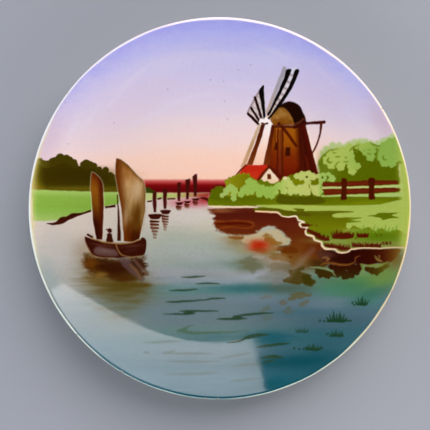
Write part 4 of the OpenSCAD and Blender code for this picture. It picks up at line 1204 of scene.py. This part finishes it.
def lip_colours(colour, points):
    """The paint stops short of the lip, and the glaze alone shows there, white to cream round the plate. Its
    tones carry painted light and shade: brightest white at the left, darker greenish grey at the bottom.
    """
    radius = np.hypot(points[:, 0], points[:, 1])
    turn = np.arctan2(points[:, 1], points[:, 0])
    wander = 0.25 * np.sin(3 * turn + 1) + 0.15 * np.sin(11 * turn) + 0.1 * np.sin(29 * turn + 2)
    # Painted light and shade in the bare glaze's tones round the lip: brightest at the left, darker greenish
    # grey at the bottom.
    tones = [(-180, (244, 240, 226)), (-140, (226, 232, 214)), (-110, (186, 202, 186)), (-90,
            (176, 196, 184)), (-60, (196, 206, 190)), (-30, (222, 206, 162)), (-14, (232, 206, 156)), (6,
            (238, 220, 176)), (40, (236, 216, 204)), (70, (240, 222, 232)), (100, (244, 226, 240)), (140,
            (240, 232, 238)), (180, (244, 240, 226))]
    starts = [(-180, 123.5), (-150, 123.7), (-120, 124.1), (-90, 124.2), (-60, 124.0), (-30, 123.7),
            (0, 123.6), (45, 123.5), (90, 123.2), (135, 123.3), (180, 123.5)]
    degrees = np.degrees(turn)
    bare = blend(tones, degrees)
    start = np.interp(degrees, [s[0] for s in starts], [s[1] for s in starts]) + wander
    cover = np.clip((radius - start) / 0.5 + 0.5, 0, 1)[:, None]
    # A painted highlight: a pale yellow glow just inside the lip at the left.
    glow = np.clip((radius - start + 2) / 2, 0,
            1) ** 2 * np.clip((np.cos(turn - math.radians(176)) - 0.9) / 0.06, 0, 1)
    colour = colour + (np.array((236, 222, 150)) - colour) * (0.6 * glow)[:, None]
    return colour + (bare - colour) * cover


def painted_face():
    picture = painted()
    face = turned("painted_face", face_rings())
    points = vertices(face)
    x, y = seen_across_rim(points)
    colour = lip_colours(sampled(picture.colour, x, y), points)
    depth = chipped(points)
    bare = np.clip(depth / 0.12, 0, 1)[:, None]
    colour = colour * (1 - bare) + np.array((206, 184, 150)) * bare
    thick = sampled(picture.thick, x, y) * (np.hypot(points[:, 0], points[:, 1]) < FACE_END_R)
    add_layer(face, "paint", linear(colour))
    add_layer(face, "body", thick)
    add_layer(face, "chip", bare[:, 0])
    move_vertices(face, press_chips(points, depth))
    face.data.materials.append(painted_glaze())
    keep(face, "plate", "painted_glaze", "face_glaze")


def plain_rings(line, count):
    return [(r, z, count) for r, z in line]


def glazed_back():
    outside = underside(0, 60) + foot_outside(0)
    inside_line = (underside(GLAZE, 60) + foot_outside(GLAZE))[::-1]
    back = turned("glazed_back", plain_rings(outside + inside_line, 512), closed_line=True)
    wrap(back)
    points = vertices(back)
    depth = chipped(points)
    move_vertices(back, press_chips(points, depth))
    pierce(back)
    back.data.materials.append(cream_glaze())
    keep(back, "plate", "cream_glaze", "back_glaze")


def glazed_recess():
    ceiling = [(r, FOOT_H) for r in np.linspace(FOOT_IN - FOOT_ROOT, 0, 30)[1:-1]]
    hidden = [(r, FOOT_H + GLAZE) for r, _ in ceiling]
    outside = plain_rings(foot_inside(0) + ceiling, 256) + [(0.0, FOOT_H, 1)]
    within = plain_rings(foot_inside(GLAZE) + hidden, 256) + [(0.0, FOOT_H + GLAZE, 1)]
    recess = turned("glazed_recess", outside + within[::-1], closed_line=True)
    wrap(recess)
    pierce(recess)
    recess.data.materials.append(cream_glaze())
    keep(recess, "plate", "cream_glaze", "foot_recess_glaze")


def biscuit_body():
    face = [below_face(r, GLAZE) for r in np.linspace(WELL_R, FACE_END_R, 40)]
    lip = arc((LIP_X, LIP_Z), LIP_R - GLAZE, 90 + math.degrees(RIM_ANGLE), 0)[1:]
    under = underside(GLAZE, 40)[1:] + foot_outside(GLAZE)
    standing = [(r, 0.0) for r in np.linspace(FOOT_OUT - FOOT_EDGE, FOOT_IN + FOOT_EDGE, 7)]
    line = face + lip + under + standing + foot_inside(GLAZE)
    rings = [(0.0, WELL_Z - GLAZE, 1)] + plain_rings(line, 512) + [(0.0, FOOT_H + GLAZE, 1)]
    body = turned("biscuit_body", rings)
    wrap(body)
    points = vertices(body)
    move_vertices(body, press_chips(points, chipped(points) * 1.05))
    pierce(body)
    body.data.materials.append(biscuit())
    keep(body, "plate", "biscuit", "earthenware_body")


# ---------------------------------------------------------------- the hanging wire

def wire_route():
    """The wire's middle line, laid flat, from one twisted end to the other; y counts from the holes."""
    strand = WIRE_D / 2
    tip = np.array((strand + TIP_GAP, LOOP_TOP - HOLE_Y))
    corner = np.array((LOOP_HALF, 0.0))
    lean = math.atan2(tip[1] - corner[1], tip[0] - corner[0])
    along = np.array((math.cos(lean), math.sin(lean)))
    cut = BEND_R * math.tan(lean / 2)
    bend_middle = corner + (-cut, BEND_R)
    right = [np.array((x, 0.0, 0.0)) for x in np.linspace(0, corner[0] - cut, 14)]
    for turn in np.linspace(-math.pi / 2, lean - math.pi / 2, 19)[1:]:
        right.append(np.array((bend_middle[0] + BEND_R * math.cos(turn),
                bend_middle[1] + BEND_R * math.sin(turn), 0)))
    leg_start, leg_end = right[-1], np.array((tip[0] + 0.9, tip[1] - 0.7, 0))
    right += [leg_start + (leg_end - leg_start) * t for t in np.linspace(0, 1, 16)[1:]]
    pitch, steps = 3.4, 60
    for k in range(steps + 1):
        out = tip[1] + 0.2 + (TWIST_L - 1.4) * k / steps
        turn = 2 * math.pi * (out - tip[1]) / pitch
        ease = min(1, k / 4)
        right.append(np.array((strand * math.cos(turn), out, strand * math.sin(turn) * ease)))
    left = [p * (-1, 1, -1) for p in right[:0:-1]]
    return np.array(left + right)


def swept(name, route, radius, sides=20):
    """A round tube along a route, with rounded ends."""
    ahead = np.gradient(route, axis=0)
    ahead /= np.linalg.norm(ahead, axis=1)[:, None]
    side = np.cross(ahead[0], (0, 0, 1.0))
    side /= np.linalg.norm(side)
    turn = np.arange(sides) * (2 * math.pi / sides)
    rings = []

    def ring(middle, direction, across, size):
        up = np.cross(across, direction)
        return middle + size * (np.outer(np.cos(turn), across) + np.outer(np.sin(turn), up))

    for i, direction in enumerate(ahead):
        side = side - direction * (side @ direction)
        side /= np.linalg.norm(side)
        if i == 0:
            for t in np.linspace(0.12, 1, 5)[:-1] * math.pi / 2:
                rings.append(ring(route[0] - direction * radius * math.cos(t), direction, side,
                        radius * math.sin(t)))
        rings.append(ring(route[i], direction, side, radius))
    for t in np.linspace(1, 0.12, 5)[1:] * math.pi / 2:
        rings.append(ring(route[-1] + ahead[-1] * radius * math.cos(t), ahead[-1], side,
                radius * math.sin(t)))
    count = len(rings)
    i = np.arange(sides)
    j = (i + 1) % sides
    walls = [np.column_stack([k * sides + i, k * sides + j, (k + 1) * sides + j,
            (k + 1) * sides + i]) for k in range(count - 1)]
    caps = [i[::-1][None, :], ((count - 1) * sides + i)[None, :]]
    piece = new_mesh(name, np.concatenate(rings), walls + caps)
    wrap(piece)
    return piece


def hanging_wire():
    route = wire_route()
    lift = HOLE_Z - WIRE_D - REST_GAP
    droop = math.asin(lift / (LOOP_TOP + TWIST_L - HOLE_Y))
    y = route[:, 1] * math.cos(droop) + route[:, 2] * math.sin(droop)
    z = route[:, 2] * math.cos(droop) - route[:, 1] * math.sin(droop)
    placed = np.column_stack([route[:, 0], HOLE_Y + y, HOLE_Z + z])
    wire = swept("twisted_wire", placed, WIRE_D / 2)
    wire.data.materials.append(brass_wire())
    keep(wire, "hanger", "brass_wire", "hanging_wire")


# ---------------------------------------------------------------- materials

class Nodes:
    """Short calls for building a material's nodes. Sizes are real: textures take the object's own metres."""

    def __init__(self, name):
        self.material = bpy.data.materials.new(name)
        self.material.use_nodes = True
        self.tree = self.material.node_tree
        self.shader = self.tree.nodes["Principled BSDF"]
        self.place = self.tree.nodes.new("ShaderNodeTexCoord").outputs["Object"]

    def add(self, kind, **values):
        node = self.tree.nodes.new("ShaderNode" + kind)
        for key, value in values.items():
            setattr(node, key, value)
        return node

    def link(self, source, target):
        self.tree.links.new(source, target)

    def put(self, socket, value):
        if hasattr(value, "links"):
            self.link(value, socket)
        else:
            socket.default_value = value

    def noise(self, scale, detail=2.0, roughness=0.5, place=None):
        node = self.add("TexNoise")
        node.inputs["Scale"].default_value = scale
        node.inputs["Detail"].default_value = detail
        node.inputs["Roughness"].default_value = roughness
        self.link(place or self.place, node.inputs["Vector"])
        return node.outputs["Fac"]

    def cells(self, scale, feature="F1", output="Distance", place=None):
        node = self.add("TexVoronoi", feature=feature)
        node.inputs["Scale"].default_value = scale
        self.link(place or self.place, node.inputs["Vector"])
        return node.outputs[output]

    def ramp(self, value, low, high, start=0.0, end=1.0):
        """start below low and end above high, with a smooth step between."""
        node = self.add("MapRange", interpolation_type="SMOOTHSTEP")
        self.put(node.inputs["Value"], value)
        for key, number in (("From Min", low), ("From Max", high), ("To Min", start), ("To Max", end)):
            node.inputs[key].default_value = number
        return node.outputs["Result"]

    def math(self, kind, a, b=0.0):
        node = self.add("Math", operation=kind)
        self.put(node.inputs[0], a)
        self.put(node.inputs[1], b)
        return node.outputs[0]

    def mix(self, amount, a, b, kind="MIX"):
        node = self.add("Mix", data_type="RGBA", blend_type=kind)
        self.put(node.inputs["Factor"], amount)
        for socket, value in ((node.inputs[6], a), (node.inputs[7], b)):
            self.put(socket, value if hasattr(value, "links") else tuple(value) + (1.0,))
        return node.outputs[2]

    def attribute(self, name, output="Color"):
        return self.add("Attribute", attribute_name=name).outputs[output]

    def bump(self, height, distance, strength=1.0, under=None):
        node = self.add("Bump")
        self.link(height, node.inputs["Height"])
        node.inputs["Distance"].default_value = distance
        node.inputs["Strength"].default_value = strength
        if under is not None:
            self.link(under, node.inputs["Normal"])
        return node.outputs["Normal"]


def rgb(r, g, b):
    return tuple(float(v) for v in linear(np.array((r, g, b), float)))


GLAZE_IOR = 1.55


def painted_glaze():
    """Airbrushed paint under a clear, slightly rippled glaze that has lost a little of its shine."""
    m = Nodes("painted_glaze")
    paint = m.attribute("paint")
    body = m.attribute("body", "Fac")
    chip = m.attribute("chip", "Fac")
    grain = m.noise(1900, 2, 0.6)
    mist = m.noise(420, 3, 0.6)
    tint = m.mix(m.ramp(grain, 0.32, 0.68, 0.0, 1.0), (0.45, 0.45, 0.45), (0.55, 0.55, 0.55))
    colour = m.mix(0.55, paint, tint, "OVERLAY")
    veil = m.mix(m.ramp(mist, 0.35, 0.65, 0.0, 1.0), (0.485, 0.485, 0.49), (0.515, 0.515, 0.51))
    colour = m.mix(0.6, colour, veil, "OVERLAY")
    speck = m.ramp(m.cells(230), 0.03, 0.055, 1.0, 0.0)
    rare = m.ramp(m.noise(120, 1), 0.66, 0.7)
    colour = m.mix(m.math("MULTIPLY", m.math("MULTIPLY", speck, rare), 0.55), colour, rgb(70, 60, 66))
    m.link(colour, m.shader.inputs["Base Color"])
    dull = m.ramp(m.noise(38, 3, 0.6), 0.38, 0.66, 0.035, 0.075)
    fine = m.ramp(m.noise(700, 2), 0.4, 0.62, 0.0, 0.02)
    rough = m.math("ADD", m.math("ADD", dull, fine), m.math("MULTIPLY", body, 0.02))
    rough = m.math("MAXIMUM", rough, m.math("MULTIPLY", chip, 0.75))
    m.link(rough, m.shader.inputs["Roughness"])
    peel = m.bump(m.noise(130, 2), 0.00004, 0.5)
    layer = m.bump(body, 0.000025, 0.6, peel)
    m.link(m.bump(grain, 0.000006, 0.5, layer), m.shader.inputs["Normal"])
    m.shader.inputs["IOR"].default_value = GLAZE_IOR
    return m.material


def cream_glaze():
    """The plain glaze of the back: cream in two tones, crazed, with pinholes, and paint mist near the lip."""
    m = Nodes("cream_glaze")
    drift = m.noise(14, 3, 0.55)
    colour = m.mix(m.ramp(drift, 0.35, 0.65), rgb(238, 230, 208), rgb(229, 218, 190))
    net = m.ramp(m.cells(95, "DISTANCE_TO_EDGE"), 0.0, 0.022, 1.0, 0.0)
    broken = m.ramp(m.noise(22, 2), 0.42, 0.6)
    colour = m.mix(m.math("MULTIPLY", m.math("MULTIPLY", net, broken), 0.35), colour, rgb(150, 124, 86))
    pin = m.ramp(m.cells(160), 0.04, 0.07, 1.0, 0.0)
    pin = m.math("MULTIPLY", pin, m.ramp(m.noise(60, 1), 0.6, 0.66))
    colour = m.mix(m.math("MULTIPLY", pin, 0.8), colour, rgb(112, 84, 58))
    split = m.add("SeparateXYZ")
    m.link(m.place, split.inputs[0])
    sky = m.ramp(split.outputs["Y"], -0.03, 0.05)
    mist = m.mix(sky, rgb(96, 132, 136), rgb(186, 180, 226))
    length = m.add("VectorMath", operation="LENGTH")
    flat = m.add("CombineXYZ")
    m.link(split.outputs["X"], flat.inputs["X"])
    m.link(split.outputs["Y"], flat.inputs["Y"])
    m.link(flat.outputs[0], length.inputs[0])
    edge = m.ramp(length.outputs["Value"], 0.1165, 0.1246)
    edge = m.math("MULTIPLY", edge, m.ramp(m.noise(45, 4, 0.7), 0.3, 0.7, 0.15, 0.8))
    colour = m.mix(edge, colour, mist)
    m.link(colour, m.shader.inputs["Base Color"])
    m.link(m.ramp(m.noise(55, 3), 0.35, 0.65, 0.1, 0.2), m.shader.inputs["Roughness"])
    peel = m.bump(m.noise(110, 2), 0.00006, 0.6)
    m.link(m.bump(pin, 0.00005, -0.6, peel), m.shader.inputs["Normal"])
    m.shader.inputs["IOR"].default_value = GLAZE_IOR
    return m.material


def biscuit():
    """Fired clay, ground flat where it stands, with the grey of years on shelves."""
    m = Nodes("biscuit_clay")
    grog = m.noise(900, 4, 0.7)
    colour = m.mix(m.ramp(grog, 0.35, 0.65), rgb(214, 196, 164), rgb(190, 168, 134))
    soil = m.ramp(m.noise(60, 4, 0.65), 0.45, 0.68, 0.0, 0.55)
    colour = m.mix(soil, colour, rgb(126, 112, 94))
    m.link(colour, m.shader.inputs["Base Color"])
    m.link(m.ramp(grog, 0.3, 0.7, 0.72, 0.9), m.shader.inputs["Roughness"])
    m.link(m.bump(grog, 0.0001, 0.8), m.shader.inputs["Normal"])
    return m.material


def brass_wire():
    """Drawn brass gone brown in patches."""
    m = Nodes("aged_brass")
    patch = m.noise(260, 4, 0.65)
    worn = m.ramp(patch, 0.4, 0.62)
    colour = m.mix(worn, rgb(202, 162, 92), rgb(126, 88, 48))
    m.link(colour, m.shader.inputs["Base Color"])
    m.link(m.ramp(patch, 0.35, 0.65, 0.26, 0.5), m.shader.inputs["Roughness"])
    m.link(m.bump(m.noise(2400, 2), 0.00002, 0.6), m.shader.inputs["Normal"])
    m.shader.inputs["Metallic"].default_value = 1.0
    return m.material


# ---------------------------------------------------------------- the studio

FLOOR_HALF = 3.0   # half the floor's side, in metres


def floor():
    """The plain pale surface that the plate lies on."""
    size = FLOOR_HALF
    mesh = bpy.data.meshes.new("floor")
    mesh.from_pydata([(-size, -size, 0), (size, -size, 0), (size, size, 0), (-size, size, 0)],
            [], [(0, 1, 2, 3)])
    plane = bpy.data.objects.new("floor", mesh)
    bpy.context.scene.collection.objects.link(plane)
    m = Nodes("pale_floor")
    m.shader.inputs["Base Color"].default_value = rgb(162, 164, 172) + (1.0,)
    m.shader.inputs["Roughness"].default_value = 0.9
    m.shader.inputs["Specular IOR Level"].default_value = 0.1
    mesh.materials.append(m.material)


def soft_light(name, place, turn, size, watts, colour):
    """A soft box: a rectangle that shines one way."""
    light = bpy.data.lights.new(name, "AREA")
    light.shape = "RECTANGLE"
    light.size, light.size_y = size
    light.energy = watts
    light.color = colour
    lamp = bpy.data.objects.new(name, light)
    lamp.location = place
    lamp.rotation_euler = [math.radians(angle) for angle in turn]
    bpy.context.scene.collection.objects.link(lamp)


def lights():
    """A tall window beyond the top of the plate and to its right, and two low, wide fills opposite it."""
    soft_light("window", (1.473, 1.28, 1.95), (-90, 0, 9.2), (3.475, 3.1), 134, (1.0, 0.97, 0.97))
    soft_light("side_fill", (-1.25, -0.2, 0.26), (-90, 0, 90), (2.0, 0.36), 7, (0.62, 0.8, 1.0))
    soft_light("front_fill", (0.1, -1.25, 0.4), (-90, 0, 180), (2.4, 0.4), 12, (1.0, 0.98, 0.97))


def sky_fill():
    """A dim ceiling over bright walls, so that the level glaze keeps its deep colours."""
    world = bpy.data.worlds.new("fill")
    world.use_nodes = True
    tree = world.node_tree
    background = tree.nodes["Background"]
    background.inputs["Color"].default_value = (0.86, 0.93, 1.0, 1.0)
    way = tree.nodes.new("ShaderNodeTexCoord")
    split = tree.nodes.new("ShaderNodeSeparateXYZ")
    level = tree.nodes.new("ShaderNodeMapRange")
    level.interpolation_type = "SMOOTHSTEP"
    for key, number in (("From Min", 0.3), ("From Max", 0.62), ("To Min", 1.25), ("To Max", 0.02)):
        level.inputs[key].default_value = number
    tree.links.new(way.outputs["Generated"], split.inputs[0])
    tree.links.new(split.outputs["Z"], level.inputs["Value"])
    tree.links.new(level.outputs["Result"], background.inputs["Strength"])
    bpy.context.scene.world = world


LENS = 85          # the camera's focal length and the width of its sensor, mm
SENSOR = 36


def camera():
    data = bpy.data.cameras.new("camera")
    data.lens = LENS
    data.sensor_width = SENSOR
    eye = bpy.data.objects.new("camera", data)
    eye.location = (CAMERA_X * MM, CAMERA_Y * MM, (LIP_Z + CAMERA_RISE) * MM)
    bpy.context.scene.collection.objects.link(eye)
    bpy.context.scene.camera = eye


painted_face()
glazed_back()
glazed_recess()
biscuit_body()
hanging_wire()
floor()
lights()
sky_fill()
camera()
bpy.context.scene.view_settings.view_transform = "Standard"
